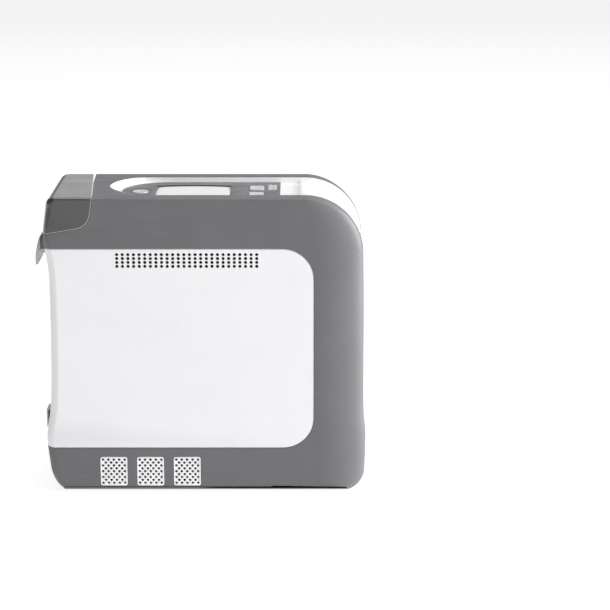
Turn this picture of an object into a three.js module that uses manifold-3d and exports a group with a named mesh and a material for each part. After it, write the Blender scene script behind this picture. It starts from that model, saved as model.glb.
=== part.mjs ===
// Portable pulse-dose oxygen concentrator: a slim upright casing with a recessed spine, a removable
// battery at its left end and the gas train inside. Millimetres, +Z up, X along the broad side and
// Y through the thickness, the control face's near edge at -Y. Every piece is drawn with x measured
// from the casing's left end, y from its mid plane and z from its underside; the group at the end of
// the file moves them so that the origin lies under the middle of the whole object.
import * as THREE from "three";
import { LoftGeometry } from "three/addons/geometries/LoftGeometry.js";
import { mergeVertices } from "three/addons/utils/BufferGeometryUtils.js";
import Module from "manifold-3d";

const wasm = await Module();
wasm.setup();

// Casing
const HEIGHT = 209;
const DEPTH = 91;
const FRONT = -DEPTH / 2;
const BACK = DEPTH / 2;
const TOP_CORNER = 40; // radius of the upper right corner
const BOTTOM_CORNER = 12.5; // radius of the lower right corner
const EDGE = { width: 2.2, depth: 2.5 }; // fillet along the top and the bottom
const LEFT_ROLL = { width: 6, depth: 8, waist: 4, waistZ: 187, waistHalf: 17 }; // left end's fillet
const RIGHT_ROLL = { width: 32, depth: 11 }; // bull-nose round the right end
const PARTING_Y = 11; // plane where the two shells meet
const GAP = 0.3; // running gap between neighbouring pieces
const SKIN = 1.6; // thickness of a panel
const LEDGE = 1.7; // shell left behind a panel
const WALL = SKIN + GAP + LEDGE;
const FOOT = { radius: 6, proud: 1, sunk: 0.9, xs: [26, 196], ys: [-31, 31] };

// White panels
const PANEL = { right: 185, bottom: 31.2, top: 173.6, radius: 21.5 };
const VENT = { columns: 26, rows: 4, left: 50.4, top: 169.7, pitchX: 3.824, pitchZ: 2.73, hole: 1.15 };
const GRILLE = { lefts: [35.5, 61.2, 86.9], width: 18.9, bottom: 3.3, top: 24.4, depth: 5, corner: 1.5 };
const GRILLE_HOLES = { rows: 9, columns: 5, pitchX: 3.8, pitchZ: 2.13, hole: 0.95 };
const HOLE_SIDES = 5;

// Recess along the spine
const RECESS = { tip: 42.6, tipY: -1, full: 66.8, near: -34.1, far: 31.8, drop: 4.6, end: 62 };
const TRAY_WALL = 1.6;

// Controls, all on the recess floor
const CONTROL = { left: 51.4, right: 161.7, near: -32.4, far: 29.4, thickness: 1 };
const LCD = { left: 75.3, right: 126.8, near: -22, far: 11, bulge: 3.6 };
const POWER = { x: 64.3, y: -6.3, radius: 5.5 };
const KEY = { left: 140.2, right: 150.4, nears: [-0.7, -23], length: 14.7 };
const LAMP = { left: 153, right: 159.4, near: 1, far: 19.5 };
const BUTTON_SINK = 2.6; // how far a button's cap reaches below the recess floor

// Battery, which lifts straight up out of the left end
const CAP = { top: 34.3, side: 33, sideZ: 199.4, cornerX: 21, cornerZ: 187.1, slope: 0.16 };
const CAP_SLANT = -7.6 / DEPTH; // the cap is narrower at the back
const CAP_WALL = 2.3;
const SHELL_SLANT = -0.04; // the rear shell's edge turns away from the cap behind the parting line
const CASE = { left: 8, right: 28.2, halfY: 37.7, bottom: 53.5, top: 186, neckRight: 23.6, neckTop: 201 };
const CASE_WALL = 1;
const CELL = { radius: 9, length: 65, pitch: 18.3, across: 4, high: 2 };
const BAY_WALL = 1;
const LIP = { halfY: 22, reach: -5.3, bottom: 168.5, top: 186.5, plate: 1.7 };

// Release lever under the lip
const LEVER = { x: 3.6, z: 166, halfY: 15, knuckle: 2.3, pin: 1.25, tipX: -9.2, tipZ: 155.7 };
const LEVER_POCKET = { right: 6.3, bottom: 160.6, top: 170.6 };

// DC inlet
const JACK = { y: -21, z: 46, radius: 4.8, bore: 3.3, face: -0.6, depth: 9 };
const COVER = { halfY: 8.6, bottom: 40.6, top: 54, face: -3.3, seat: -2.1 };
const COVER_HINGE = { x: 0.9, z: 53.4, halfY: 6, radius: 0.7, pocketBottom: 52, pocketTop: 58.4 };

// Gas train
const BED = { x: 56, y: 20, radius: 18, bottom: 50, top: 186 };
const TANK = { x: 94, y: -20, radius: 15, bottom: 50, top: 150 };
const VALVES = { left: 80, right: 108, near: 8, far: 34, top: 90, solenoids: [86.5, 101.5] };
const PUMP = { x: 165, y: -6, z: 46, stroke: 3, bore: 10.3, barrel: 13.4, reach: 37 };
const CRANKCASE = { halfX: 17, halfZ: 20, near: -15, far: 14, wall: 3 };
const FAN = { x: 71, y: 0, bottom: 30, height: 14, half: 26, duct: 23.5, hub: 9.5, blades: 7 };
const HOSE = 2.5; // outer radius of the inner hoses
const BARB = { y: 0, z: 100, tip: 217.6, base: 205 };
const FILTER = { left: 122, right: 180, bottom: 92, top: 150 };
const CHASSIS = { left: 33, right: 206, halfY: 36, floor: 5, top: 188, sheet: 2, dividerX: 113 };

const { PI, abs, cos, sin, hypot, max } = Math;
const point = (x, y) => new THREE.Vector2(x, y);
const spot = (x, y, z) => new THREE.Vector3(x, y, z);

// ---- solids -------------------------------------------------------------------------------------

function solid(geometry) {
  const bare = geometry.index ? geometry.toNonIndexed() : geometry.clone();
  bare.deleteAttribute("normal");
  bare.deleteAttribute("uv");
  const merged = mergeVertices(bare);
  return new wasm.Manifold(
    new wasm.Mesh({
      numProp: 3,
      vertProperties: merged.getAttribute("position").array,
      triVerts: new Uint32Array(merged.index.array),
    }),
  );
}

function joined(solids) {
  return solids.reduce((all, next) => all.add(next));
}

// Extrusions of a flat shape: drawn in x and z along Y, in x and y along Z, or in y and z along X.
function extruded(shape, length, curveSegments) {
  return new THREE.ExtrudeGeometry(shape, { depth: length, bevelEnabled: false, curveSegments });
}

function alongY(shape, y0, y1, curveSegments = 5) {
  return solid(extruded(shape, y1 - y0, curveSegments).rotateX(PI / 2).translate(0, y1, 0));
}

function alongZ(shape, z0, z1, curveSegments = 5) {
  return solid(extruded(shape, z1 - z0, curveSegments).translate(0, 0, z0));
}

function alongX(shape, x0, x1, curveSegments = 5) {
  const turn = new THREE.Matrix4().makeBasis(spot(0, 1, 0), spot(0, 0, 1), spot(1, 0, 0));
  return solid(extruded(shape, x1 - x0, curveSegments).applyMatrix4(turn).translate(x0, 0, 0));
}

function block(x0, x1, y0, y1, z0, z1) {
  const box = new THREE.BoxGeometry(x1 - x0, y1 - y0, z1 - z0);
  return solid(box.translate((x0 + x1) / 2, (y0 + y1) / 2, (z0 + z1) / 2));
}

function rod(radius, from, to, sides = 16) {
  const axis = to.clone().sub(from);
  const turn = new THREE.Quaternion().setFromUnitVectors(spot(0, 1, 0), axis.clone().normalize());
  const middle = from.clone().add(to).divideScalar(2);
  const cylinder = new THREE.CylinderGeometry(radius, radius, axis.length(), sides);
  return solid(cylinder.applyQuaternion(turn).translate(middle.x, middle.y, middle.z));
}

function polygon(corners) {
  return new THREE.Shape(corners.map(([x, y]) => point(x, y)));
}

function roundedRectangle(left, bottom, right, top, radius) {
  const shape = new THREE.Shape();
  shape.moveTo(left + radius, bottom);
  shape.absarc(right - radius, bottom + radius, radius, -PI / 2, 0);
  shape.absarc(right - radius, top - radius, radius, 0, PI / 2);
  shape.absarc(left + radius, top - radius, radius, PI / 2, PI);
  shape.absarc(left + radius, bottom + radius, radius, PI, 1.5 * PI);
  return shape;
}

function tube(route, radius, steps = 12, sides = 8) {
  const section = new THREE.Shape().absarc(0, 0, radius, 0, 2 * PI);
  const path = new THREE.CatmullRomCurve3(route);
  const hose = new THREE.ExtrudeGeometry(section, { steps, extrudePath: path, curveSegments: sides / 2 });
  return solid(hose);
}

// ---- the casing's outer form --------------------------------------------------------------------

// Broad-side outline, anticlockwise seen from the front: a shallow waist and a flared foot on the
// left, a slight bulge low on the right, a large upper right corner.
function broadOutline() {
  const path = new THREE.Path();
  path.moveTo(10, 0);
  path.lineTo(221 - BOTTOM_CORNER, 0);
  path.absarc(221 - BOTTOM_CORNER, BOTTOM_CORNER, BOTTOM_CORNER, -PI / 2, 0);
  path.splineThru([
    point(221.6, 38), point(220, 62), point(219.8, 130), point(219.2, HEIGHT - TOP_CORNER),
  ]);
  path.absarc(219.2 - TOP_CORNER, HEIGHT - TOP_CORNER, TOP_CORNER, 0, PI / 2);
  path.lineTo(8.6, HEIGHT);
  path.absellipse(8.6, HEIGHT - 6.6, 6.6, 6.6, PI / 2, PI);
  path.splineThru([
    point(-0.4, 184), point(0.4, 172), point(2.8, 150), point(2.4, 90),
    point(1.2, 60), point(-1.9, 38), point(-0.4, 19),
  ]);
  path.quadraticCurveTo(0.6, 4.5, 10, 0);
  return path;
}

function stepsAlong(curve) {
  if (curve.isLineCurve) return 1;
  if (curve.isSplineCurve) return 2 * (curve.points.length - 1);
  return curve.xRadius === TOP_CORNER ? 8 : 4;
}

const OUTLINE = broadOutline().curves.flatMap((curve) => {
  const steps = stepsAlong(curve);
  return Array.from({ length: steps }, (_, i) => {
    const at = curve.getPoint(i / steps);
    const along = curve.getTangent(i / steps);
    return { x: at.x, z: at.y, nx: along.y, nz: -along.x };
  });
});

// Width of the left end's fillet, which narrows where the battery's cap begins.
function leftWidth(z) {
  const { width, waist, waistZ, waistHalf } = LEFT_ROLL;
  return width - (width - waist) * max(0, 1 - abs(z - waistZ) / waistHalf);
}

// One ring of the skin. At turn 0 it is the rim of the flat face, at a right angle the full outline.
function skinRing(inset, side, turn) {
  const rounding = (radius) => max(radius - inset, 0.4);
  return OUTLINE.map(({ x, z, nx, nz }) => {
    const { width, depth } = nx > 0 ? RIGHT_ROLL : { width: leftWidth(z), depth: LEFT_ROLL.depth };
    const reach = 1 - sin(turn);
    const drop = hypot(rounding(depth) * nx, rounding(EDGE.depth) * nz) * (1 - cos(turn));
    return spot(
      x - nx * (inset + rounding(width) * reach),
      side * (BACK - inset - drop),
      z - nz * (inset + rounding(EDGE.width) * reach),
    );
  });
}

// The whole casing as one filled form, pulled in by the given inset. The shares of a quarter turn say
// how finely the rolls are stepped.
const FINE = [0, 0.38, 0.74, 1];
const COARSE = [0, 0.6, 1];

function form(inset, shares = FINE) {
  const turns = shares.map((share) => (share * PI) / 2);
  const back = turns.map((turn) => skinRing(inset, 1, turn));
  const front = turns.map((turn) => skinRing(inset, -1, turn)).reverse();
  return solid(new LoftGeometry([...back, ...front], { capStart: true, capEnd: true }));
}

const OUTSIDE = form(0);
const BEHIND_PANEL = form(SKIN + GAP);
const INSIDE = form(WALL, COARSE);
const PANEL_SKIN = OUTSIDE.subtract(form(SKIN));

const frontOf = (y) => block(-30, 250, FRONT - 5, y, -20, 250);
const backOf = (y) => block(-30, 250, y, BACK + 5, -20, 250);

// ---- cutting forms shared by the casing pieces --------------------------------------------------

function panelWindow(grow) {
  const shape = new THREE.Shape();
  const { right, bottom, top, radius } = PANEL;
  shape.moveTo(-30, bottom - grow);
  shape.lineTo(right - radius, bottom - grow);
  shape.absarc(right - radius, bottom + radius, radius + grow, -PI / 2, 0);
  shape.absarc(right - radius, top - radius, radius + grow, 0, PI / 2);
  shape.lineTo(-30, top + grow);
  return alongY(shape, FRONT - 5, BACK + 5, 6);
}

// The region of the battery's cap, seen on the broad side and slanted through the thickness.
function capRegion(grow, slant, pivotY) {
  const shape = new THREE.Shape();
  const { top, side, sideZ, cornerX, cornerZ, slope } = CAP;
  shape.moveTo(-30, HEIGHT + 10);
  shape.lineTo(-30, cornerZ - slope * (cornerX + 30) - grow);
  shape.lineTo(cornerX, cornerZ - grow);
  shape.bezierCurveTo(27.5 + grow, 188 - grow, 31.8 + grow, 190.5 - grow, side + grow, sideZ);
  shape.lineTo(top + grow, HEIGHT);
  shape.lineTo(top + grow, HEIGHT + 10);
  const shear = new THREE.Matrix4().makeShear(0, 0, slant, 0, 0, 0);
  const geometry = extruded(shape, DEPTH + 10, 6).rotateX(PI / 2).translate(0, BACK + 5 - pivotY, 0);
  return solid(geometry.applyMatrix4(shear).translate(CAP_SLANT * (pivotY - FRONT), pivotY, 0));
}

// Plan of the recess on top: its left end is elliptical at the back and runs out obliquely in front.
function recessPlan(inset) {
  const { tip, tipY, full, near, far } = RECESS;
  const shape = new THREE.Shape();
  shape.moveTo(full - 5 + inset, near + inset);
  shape.lineTo(250, near + inset);
  shape.lineTo(250, far - inset);
  shape.lineTo(full, far - inset);
  shape.absellipse(full, tipY, full - tip - inset, far - tipY - inset, PI / 2, PI);
  shape.quadraticCurveTo(tip + 1.5 + inset, -14, full - 5 + inset, near + inset);
  return shape;
}

// Front of the recess where it runs down the right end: a rounded foot.
function recessEnd(inset) {
  const { near, far, end } = RECESS;
  return roundedRectangle(near + inset, end + inset, far - inset, 260, (far - near) / 2 - 6 - inset);
}

function recess(inset) {
  return alongZ(recessPlan(inset), 150, 220, 8).add(alongX(recessEnd(inset), 175, 230, 6));
}

function leverPocket() {
  const { right, bottom, top } = LEVER_POCKET;
  return block(-20, right, -LEVER.halfY - 1.5, LEVER.halfY + 1.5, bottom, top);
}

function leverPinBore() {
  const reach = LEVER.halfY + 4.5 + GAP;
  return rod(LEVER.pin + GAP, spot(LEVER.x, -reach, LEVER.z), spot(LEVER.x, reach, LEVER.z), 10);
}

const jackHole = () => rod(JACK.radius + GAP, spot(-20, JACK.y, JACK.z), spot(12, JACK.y, JACK.z), 16);

const screwSpots = [[40, 15], [196, 178]];

// ---- casing -------------------------------------------------------------------------------------

// Bulkhead that follows the cap's edge and closes the casing beside the battery.
function bulkhead(slant, pivotY) {
  const sheet = capRegion(GAP + 2, slant, pivotY).subtract(capRegion(GAP, slant, pivotY));
  const beside = block(CASE.right + 0.9, 60, FRONT, BACK, 150, HEIGHT + 5);
  return sheet.intersect(form(WALL - 0.4, COARSE)).intersect(beside);
}

function casingShell(cutCap, wall) {
  const pocket = panelWindow(GAP).subtract(BEHIND_PANEL);
  return OUTSIDE.subtract(INSIDE)
    .subtract(pocket)
    .subtract(cutCap)
    .add(wall)
    .subtract(recess(-GAP))
    .subtract(leverPocket())
    .subtract(leverPinBore());
}

function footPocket(x, y) {
  return rod(FOOT.radius + GAP, spot(x, y, -5), spot(x, y, FOOT.sunk + GAP), 16);
}

function grilleShape(left, grow) {
  const { width, bottom, top, corner } = GRILLE;
  return roundedRectangle(left - grow, bottom - grow, left + width + grow, top + grow, corner + grow);
}

function frontShell() {
  const cap = capRegion(GAP, CAP_SLANT, FRONT);
  let shell = casingShell(cap, bulkhead(CAP_SLANT, FRONT)).intersect(frontOf(PARTING_Y - GAP / 2));
  const ventDuct = roundedRectangle(47, 158.5, 149.5, 172, 3);
  shell = shell.subtract(alongY(ventDuct, FRONT - 5, FRONT + 8, 3));
  for (const left of GRILLE.lefts) {
    shell = shell.subtract(alongY(grilleShape(left, GAP), FRONT - 5, FRONT + 8, 2));
  }
  shell = shell.subtract(jackHole());
  for (const x of FOOT.xs) shell = shell.subtract(footPocket(x, FOOT.ys[0]));
  return shell;
}

function screwBore(x, z) {
  const head = rod(3.8, spot(x, BACK - 2.4, z), spot(x, BACK + 5, z), 12);
  return head.add(rod(1.7, spot(x, BACK - 12, z), spot(x, BACK, z), 8));
}

function backShell() {
  const cap = capRegion(GAP, CAP_SLANT, FRONT).add(capRegion(GAP, SHELL_SLANT, PARTING_Y));
  let shell = casingShell(cap, bulkhead(SHELL_SLANT, PARTING_Y));
  shell = shell.intersect(backOf(PARTING_Y + GAP / 2));
  for (const [x, z] of screwSpots) shell = shell.subtract(screwBore(x, z));
  for (const x of FOOT.xs) shell = shell.subtract(footPocket(x, FOOT.ys[1]));
  return shell.subtract(filterWindow(-1));
}

function ventHoles() {
  const { columns, rows, left, top, pitchX, pitchZ, hole } = VENT;
  const holes = [];
  for (let row = 0; row < rows; row += 1) {
    for (let column = 0; column < columns; column += 1) {
      const x = left + column * pitchX;
      const z = top - row * pitchZ;
      holes.push(rod(hole, spot(x, FRONT - 1, z), spot(x, FRONT + 4, z), HOLE_SIDES));
    }
  }
  return wasm.Manifold.union(holes);
}

function whitePanel() {
  return PANEL_SKIN.intersect(panelWindow(0)).subtract(leverPocket()).subtract(leverPinBore());
}

function frontPanel() {
  const panel = whitePanel().intersect(frontOf(PARTING_Y - GAP / 2));
  const { halfY, pocketBottom, pocketTop } = COVER_HINGE;
  const reach = halfY + 6 * GAP;
  const hingePocket = block(-5, 3, JACK.y - reach, JACK.y + reach, pocketBottom, pocketTop);
  return panel.subtract(hingePocket).subtract(jackHole()).subtract(ventHoles());
}

function filterWindow(grow) {
  const { left, right, bottom, top } = FILTER;
  const shape = roundedRectangle(left - grow, bottom - grow, right + grow, top + grow, 5 + grow);
  return alongY(shape, BACK - 8, BACK + 5, 3);
}

function backPanel() {
  const panel = whitePanel().intersect(backOf(PARTING_Y + GAP / 2));
  return panel.subtract(filterWindow(GAP));
}

// Slotted cover that closes the air intake, flush with the rear panel, on a rim behind it.
function filterCover() {
  const { left, right, bottom, top } = FILTER;
  const plate = alongY(roundedRectangle(left, bottom, right, top, 5), BACK - SKIN, BACK, 3);
  const slots = [];
  for (let z = bottom + 7; z < top - 5; z += 5) {
    slots.push(block(left + 7, right - 7, BACK - 5, BACK + 1, z, z + 2));
  }
  const middle = (left + right) / 2;
  const pull = block(middle - 9, middle + 9, BACK - 1, BACK + 1, top - 4, top + 1);
  return plate.subtract(joined(slots)).subtract(pull);
}

function intakeFilter() {
  const { left, right, bottom, top } = FILTER;
  const y0 = BACK - WALL - 6;
  return block(left + 2.5, right - 2.5, y0, BACK - SKIN - GAP, bottom + 2.5, top - 2.5);
}

// Perforated insert with a short duct and a snap rim behind the shell.
function exhaustGrille(left) {
  const { width, bottom, top, depth } = GRILLE;
  const { rows, columns, pitchX, pitchZ, hole } = GRILLE_HOLES;
  const body = alongY(grilleShape(left, 0), FRONT, FRONT + depth, 2);
  const hollow = alongY(grilleShape(left, -1), FRONT + 1.6, FRONT + depth + 1, 2);
  const rimY = FRONT + WALL + GAP;
  const rim = block(left - 1.2, left + width + 1.2, rimY, FRONT + depth, bottom + 3, top - 3);
  const holes = [];
  const middleX = left + width / 2;
  const middleZ = (bottom + top) / 2;
  for (let row = 0; row < rows; row += 1) {
    const count = columns - (row % 2);
    for (let column = 0; column < count; column += 1) {
      const x = middleX + (column - (count - 1) / 2) * pitchX;
      const z = middleZ + ((rows - 1) / 2 - row) * pitchZ;
      holes.push(rod(hole, spot(x, FRONT - 1, z), spot(x, FRONT + 3, z), HOLE_SIDES));
    }
  }
  return body.add(rim).subtract(hollow).subtract(wasm.Manifold.union(holes));
}

function foot(x, y) {
  return rod(FOOT.radius, spot(x, y, -FOOT.proud), spot(x, y, FOOT.sunk), 16);
}

function shellScrew(x, z) {
  const head = rod(3.4, spot(x, BACK - 2.1, z), spot(x, BACK - 0.5, z), 12);
  const slot = block(x - 2, x + 2, BACK - 1.3, BACK, z - 0.4, z + 0.4);
  return head.subtract(slot).add(rod(1.35, spot(x, BACK - 11, z), spot(x, BACK - 2, z), 8));
}

// ---- recess liner and controls ------------------------------------------------------------------

function lcdShape(inset) {
  const { left, right, near, far, bulge } = LCD;
  const shape = new THREE.Shape();
  shape.moveTo(left + inset, near + inset);
  shape.lineTo(right - inset, near + inset);
  shape.lineTo(right - inset, far - inset);
  shape.quadraticCurveTo((left + right) / 2, far + 2 * bulge - inset, left + inset, far - inset);
  return shape;
}

function keyShape(near, grow) {
  const { left, right, length } = KEY;
  return roundedRectangle(left - grow, near - grow, right + grow, near + length + grow, 1 + grow);
}

function lampShape(grow) {
  const { left, right, near, far } = LAMP;
  return roundedRectangle(left - grow, near - grow, right + grow, far + grow, 0.8 + grow / 2);
}

// Everything that passes through the recess floor and the control panel.
function controlCuts(z0, z1, lcdInset) {
  const cuts = [
    alongZ(lcdShape(lcdInset), z0, z1, 6),
    rod(POWER.radius + GAP, spot(POWER.x, POWER.y, z0), spot(POWER.x, POWER.y, z1), 20),
    alongZ(lampShape(GAP), z0, z1, 2),
    ...KEY.nears.map((near) => alongZ(keyShape(near, GAP), z0, z1, 2)),
  ];
  return joined(cuts);
}

const FLOOR_Z = HEIGHT - RECESS.drop;
const PANEL_BASE = FLOOR_Z + GAP;
const PANEL_TOP = PANEL_BASE + CONTROL.thickness;

function outletPocket(grow) {
  return block(BARB.base - grow, 222, -12 - grow, 12 + grow, BARB.z - 12 - grow, BARB.z + 12 + grow);
}

function spineTray() {
  const floorTop = form(RECESS.drop, COARSE);
  const floorUnder = form(RECESS.drop + TRAY_WALL, COARSE);
  const sheet = floorTop.subtract(floorUnder).intersect(recess(-2.2));
  const sides = recess(0).subtract(recess(TRAY_WALL));
  const rim = form(GAP, COARSE).subtract(floorUnder).intersect(sides);
  const tray = sheet.add(rim);
  const cup = outletPocket(1.4).intersect(floorTop);
  return tray.add(cup).subtract(outletPocket(0)).subtract(controlCuts(195, HEIGHT, 3));
}

function controlPanel() {
  const { left, right, near, far } = CONTROL;
  const halfY = (far - near) / 2;
  const shape = new THREE.Shape();
  shape.moveTo(left + 32, near);
  shape.lineTo(right, near);
  shape.lineTo(right, far);
  shape.lineTo(left + 32, far);
  shape.absellipse(left + 32, near + halfY, 32, halfY, PI / 2, 1.5 * PI);
  return alongZ(shape, PANEL_BASE, PANEL_TOP, 8).subtract(controlCuts(195, HEIGHT, -GAP));
}

function powerButton() {
  const { x, y, radius } = POWER;
  const cap = rod(radius, spot(x, y, FLOOR_Z - BUTTON_SINK), spot(x, y, PANEL_TOP + 0.5), 20);
  return cap.add(rod(2, spot(x, y, 198.9), spot(x, y, FLOOR_Z), 10));
}

function keyButton(near) {
  const x = (KEY.left + KEY.right) / 2;
  const y = near + KEY.length / 2;
  const cap = alongZ(keyShape(near, 0), FLOOR_Z - BUTTON_SINK, PANEL_TOP + 0.4, 2);
  return cap.add(rod(2, spot(x, y, 198.9), spot(x, y, FLOOR_Z), 10));
}

const lcdWindow = () => alongZ(lcdShape(0), PANEL_BASE, PANEL_TOP + 0.1, 6);

// Circuit board with the display module soldered on top and the alarm buzzer underneath.
function displayBoard() {
  const board = block(57, 160, -29, 25, 196.4, 198);
  const module = block(LCD.left - 2, LCD.right + 2, -21, 12, 197, FLOOR_Z - TRAY_WALL - 0.5);
  return joined([board, module, rod(7, spot(108, -2, 190), spot(108, -2, 197))]);
}

const indicatorLens = () => alongZ(lampShape(0), FLOOR_Z - 1, PANEL_TOP + 0.1, 2);

// ---- battery ------------------------------------------------------------------------------------

function batteryHead() {
  const region = capRegion(0, CAP_SLANT, FRONT);
  const hollow = region.translate([-CAP_WALL, 0, -8]).intersect(form(CAP_WALL));
  const cap = OUTSIDE.intersect(region).subtract(hollow);
  const { halfY, reach, bottom, top, plate } = LIP;
  const wedge = polygon([
    [1.6, 190], [-0.5, top], [reach, bottom], [-0.4, bottom], [-1, 177], [-1, 184.4], [1.6, 185.2],
  ]);
  const under = polygon([[reach + plate, bottom - 1], [0.6, 184.4], [0.6, bottom - 1]]);
  const lip = alongY(wedge, -halfY, halfY).subtract(alongY(under, plate - halfY, halfY - plate));
  const catchGroove = block(-4.6, -3.7, -7, 7, 172.2, 174.6);
  return cap.add(lip).subtract(catchGroove);
}

function batteryCase() {
  const { left, right, halfY, bottom, top, neckRight, neckTop } = CASE;
  const outer = block(left, right, -halfY, halfY, bottom, top);
  const neck = block(left, neckRight, -halfY + 2, halfY - 2, top - 3, neckTop);
  const wall = CASE_WALL;
  const inner = block(left + wall, right - wall, wall - halfY, halfY - wall, bottom + wall, top - 0.8);
  const cableWay = block(left + 3, neckRight - 3, -20, 20, top - 5, neckTop - 2);
  const contactWell = block(left + 4, right - 4, -16, 16, bottom - 1, bottom + 3);
  const drain = rod(1.5, spot(15, 0, neckTop - 5), spot(15, 0, neckTop + 1), 8);
  return outer.add(neck).subtract(inner).subtract(cableWay).subtract(contactWell).subtract(drain);
}

function batteryCells() {
  const { radius, length, pitch, across, high } = CELL;
  const x = (CASE.left + CASE.right) / 2;
  const bottom = CASE.bottom + CASE_WALL + GAP;
  const cells = [];
  for (let column = 0; column < across; column += 1) {
    const y = (column - (across - 1) / 2) * pitch;
    for (let level = 0; level < high; level += 1) {
      const z = bottom + level * (length - 0.4);
      cells.push(rod(radius, spot(x, y, z), spot(x, y, z + length - 0.2), 12));
    }
  }
  const half = ((across - 1) / 2) * pitch;
  const strip = block(x - 3, x + 3, -half, half, bottom + length - 4, bottom + length + 4);
  return joined(cells).add(strip);
}

// Three upright plates side by side: the slots of the battery's contacts, the blades of the bay's.
function contactPlates(inset, halfY, z0, z1) {
  const { left, right, bottom } = CASE;
  const plate = (y) => block(left + inset, right - inset, y - halfY, y + halfY, bottom + z0, bottom + z1);
  return joined([-10, 0, 10].map(plate));
}

function batteryContacts() {
  const { left, right, bottom } = CASE;
  const plug = block(left + 4.3, right - 4.3, -15.7, 15.7, bottom, bottom + CASE_WALL);
  return plug.subtract(contactPlates(7, 0.8, -1, 3));
}

function batteryBay() {
  const { left, right, halfY, bottom } = CASE;
  const outer = [left - GAP - BAY_WALL, right + GAP + BAY_WALL, halfY + GAP + BAY_WALL];
  const sleeve = block(outer[0], outer[1], -outer[2], outer[2], bottom - 2.2, 183.4);
  const room = block(left - GAP, right + GAP, -halfY - GAP, halfY + GAP, bottom - GAP, 190);
  const port = block(left + 3.5, right - 3.5, -16.5, 16.5, bottom - 5, bottom + 1);
  return sleeve.subtract(room).subtract(port).subtract(leverPocket());
}

function bayConnector() {
  const { left, right, bottom } = CASE;
  const base = block(left + 3.8, right - 3.8, -16.2, 16.2, bottom - 4.2, bottom - GAP);
  return base.add(contactPlates(7.4, 0.4, -1, 0.8));
}

// ---- release lever, DC inlet, oxygen outlet -----------------------------------------------------

function releaseLever() {
  const { x, z, halfY, knuckle, pin, tipX, tipZ } = LEVER;
  const hook = new THREE.Shape();
  hook.moveTo(x, z - knuckle);
  hook.lineTo(x, z + 1.4);
  hook.lineTo(-5.6, z + 1.6);
  hook.lineTo(-5.5, z + 9);
  hook.lineTo(-6.3, z + 9.2);
  hook.quadraticCurveTo(-8.4, z + 3, tipX, z - 4);
  hook.lineTo(tipX, tipZ);
  hook.lineTo(tipX + 1.4, tipZ);
  hook.quadraticCurveTo(tipX + 1.7, z - 3.2, -3, z - 1.9);
  const profile = alongY(hook, -halfY, halfY);
  const barrel = rod(knuckle, spot(x, -halfY, z), spot(x, halfY, z), 12);
  const tooth = block(-5.8, -4.7, -6, 6, 172.6, 174.2);
  const bore = rod(pin + 0.1, spot(x, -halfY - 1, z), spot(x, halfY + 1, z), 12);
  const springRoom = block(x - 2.6, x + 2.6, halfY - 6, halfY + 1, z - 3, z + 3);
  return profile.add(barrel).add(tooth).subtract(bore).subtract(springRoom);
}

function leverPin() {
  const reach = LEVER.halfY + 4.5;
  return rod(LEVER.pin, spot(LEVER.x, -reach, LEVER.z), spot(LEVER.x, reach, LEVER.z), 12);
}

// Torsion spring: three turns round the pin.
function leverSpring() {
  const turns = 3;
  const steps = 8 * turns;
  const route = Array.from({ length: steps + 1 }, (_, i) => {
    const angle = (2 * PI * turns * i) / steps;
    const y = LEVER.halfY - 5 + (4 * i) / steps;
    return spot(LEVER.x + 1.8 * cos(angle), y, LEVER.z + 1.8 * sin(angle));
  });
  return tube(route, 0.25, steps, 4);
}

function dcJack() {
  const { y, z, radius, bore, face, depth } = JACK;
  const body = rod(radius, spot(face, y, z), spot(face + depth, y, z), 16);
  return body.subtract(rod(bore, spot(face - 1, y, z), spot(face + depth - 1.2, y, z), 16));
}

// Flap whose neck reaches into a pocket of the panel and ends in a bead, which it turns about.
function jackCover() {
  const { halfY, bottom, top, face, seat } = COVER;
  const { x, z, halfY: hingeY, radius } = COVER_HINGE;
  const shape = roundedRectangle(JACK.y - halfY, bottom, JACK.y + halfY, top, 3);
  const neck = block(seat - 0.5, x, JACK.y - hingeY, JACK.y + hingeY, z - 0.5, z + 0.5);
  const bead = rod(radius, spot(x, JACK.y - hingeY, z), spot(x, JACK.y + hingeY, z), 8);
  return joined([alongX(shape, face, seat, 4), neck, bead]);
}

// Hose barb: a flanged stem with two ridges, bored from its tip.
function oxygenOutlet() {
  const { y, z, tip, base } = BARB;
  const stage = (radius, from, to) => rod(radius, spot(from, y, z), spot(to, y, z), 12);
  const stem = stage(5, base + GAP, base + 1.8).add(stage(2.3, base + 1, tip));
  const ridges = stage(3, tip - 6.4, tip - 4.8).add(stage(3, tip - 3, tip - 1.4));
  return stem.add(ridges).subtract(rod(1.1, spot(base + 3, y, z), spot(tip + 1, y, z), 8));
}

// ---- frame, electronics and gas train -----------------------------------------------------------

// Floor plate, upright divider and the shelf that carries the fan.
function chassis() {
  const { left, right, halfY, floor, top, sheet, dividerX } = CHASSIS;
  const plate = block(left, right, -halfY, halfY, floor, floor + sheet);
  const divider = block(dividerX, dividerX + sheet, -halfY, halfY, floor, top);
  const shelf = block(left + 1, dividerX + 1, -halfY, halfY, FAN.bottom - 2.3, FAN.bottom - GAP);
  const duct = rod(FAN.duct, spot(FAN.x, FAN.y, FAN.bottom - 5), spot(FAN.x, FAN.y, FAN.bottom + 5), 20);
  const hoseWay = (y, z) => rod(6, spot(dividerX - 5, y, z), spot(dividerX + 5, y, z), 12);
  const holes = joined([duct, hoseWay(24, 75), hoseWay(-20, 162)]);
  return joined([plate, divider, shelf]).subtract(holes);
}

function mainBoard() {
  const board = block(31.4, 33, -36, 36, 56, 180);
  const processor = block(32.5, 35, -16, 2, 120, 138);
  const charger = block(32.5, 36, 10, 30, 70, 84);
  const driver = block(32.5, 35, -28, -14, 82, 96);
  return joined([board, processor, charger, driver]);
}

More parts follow.
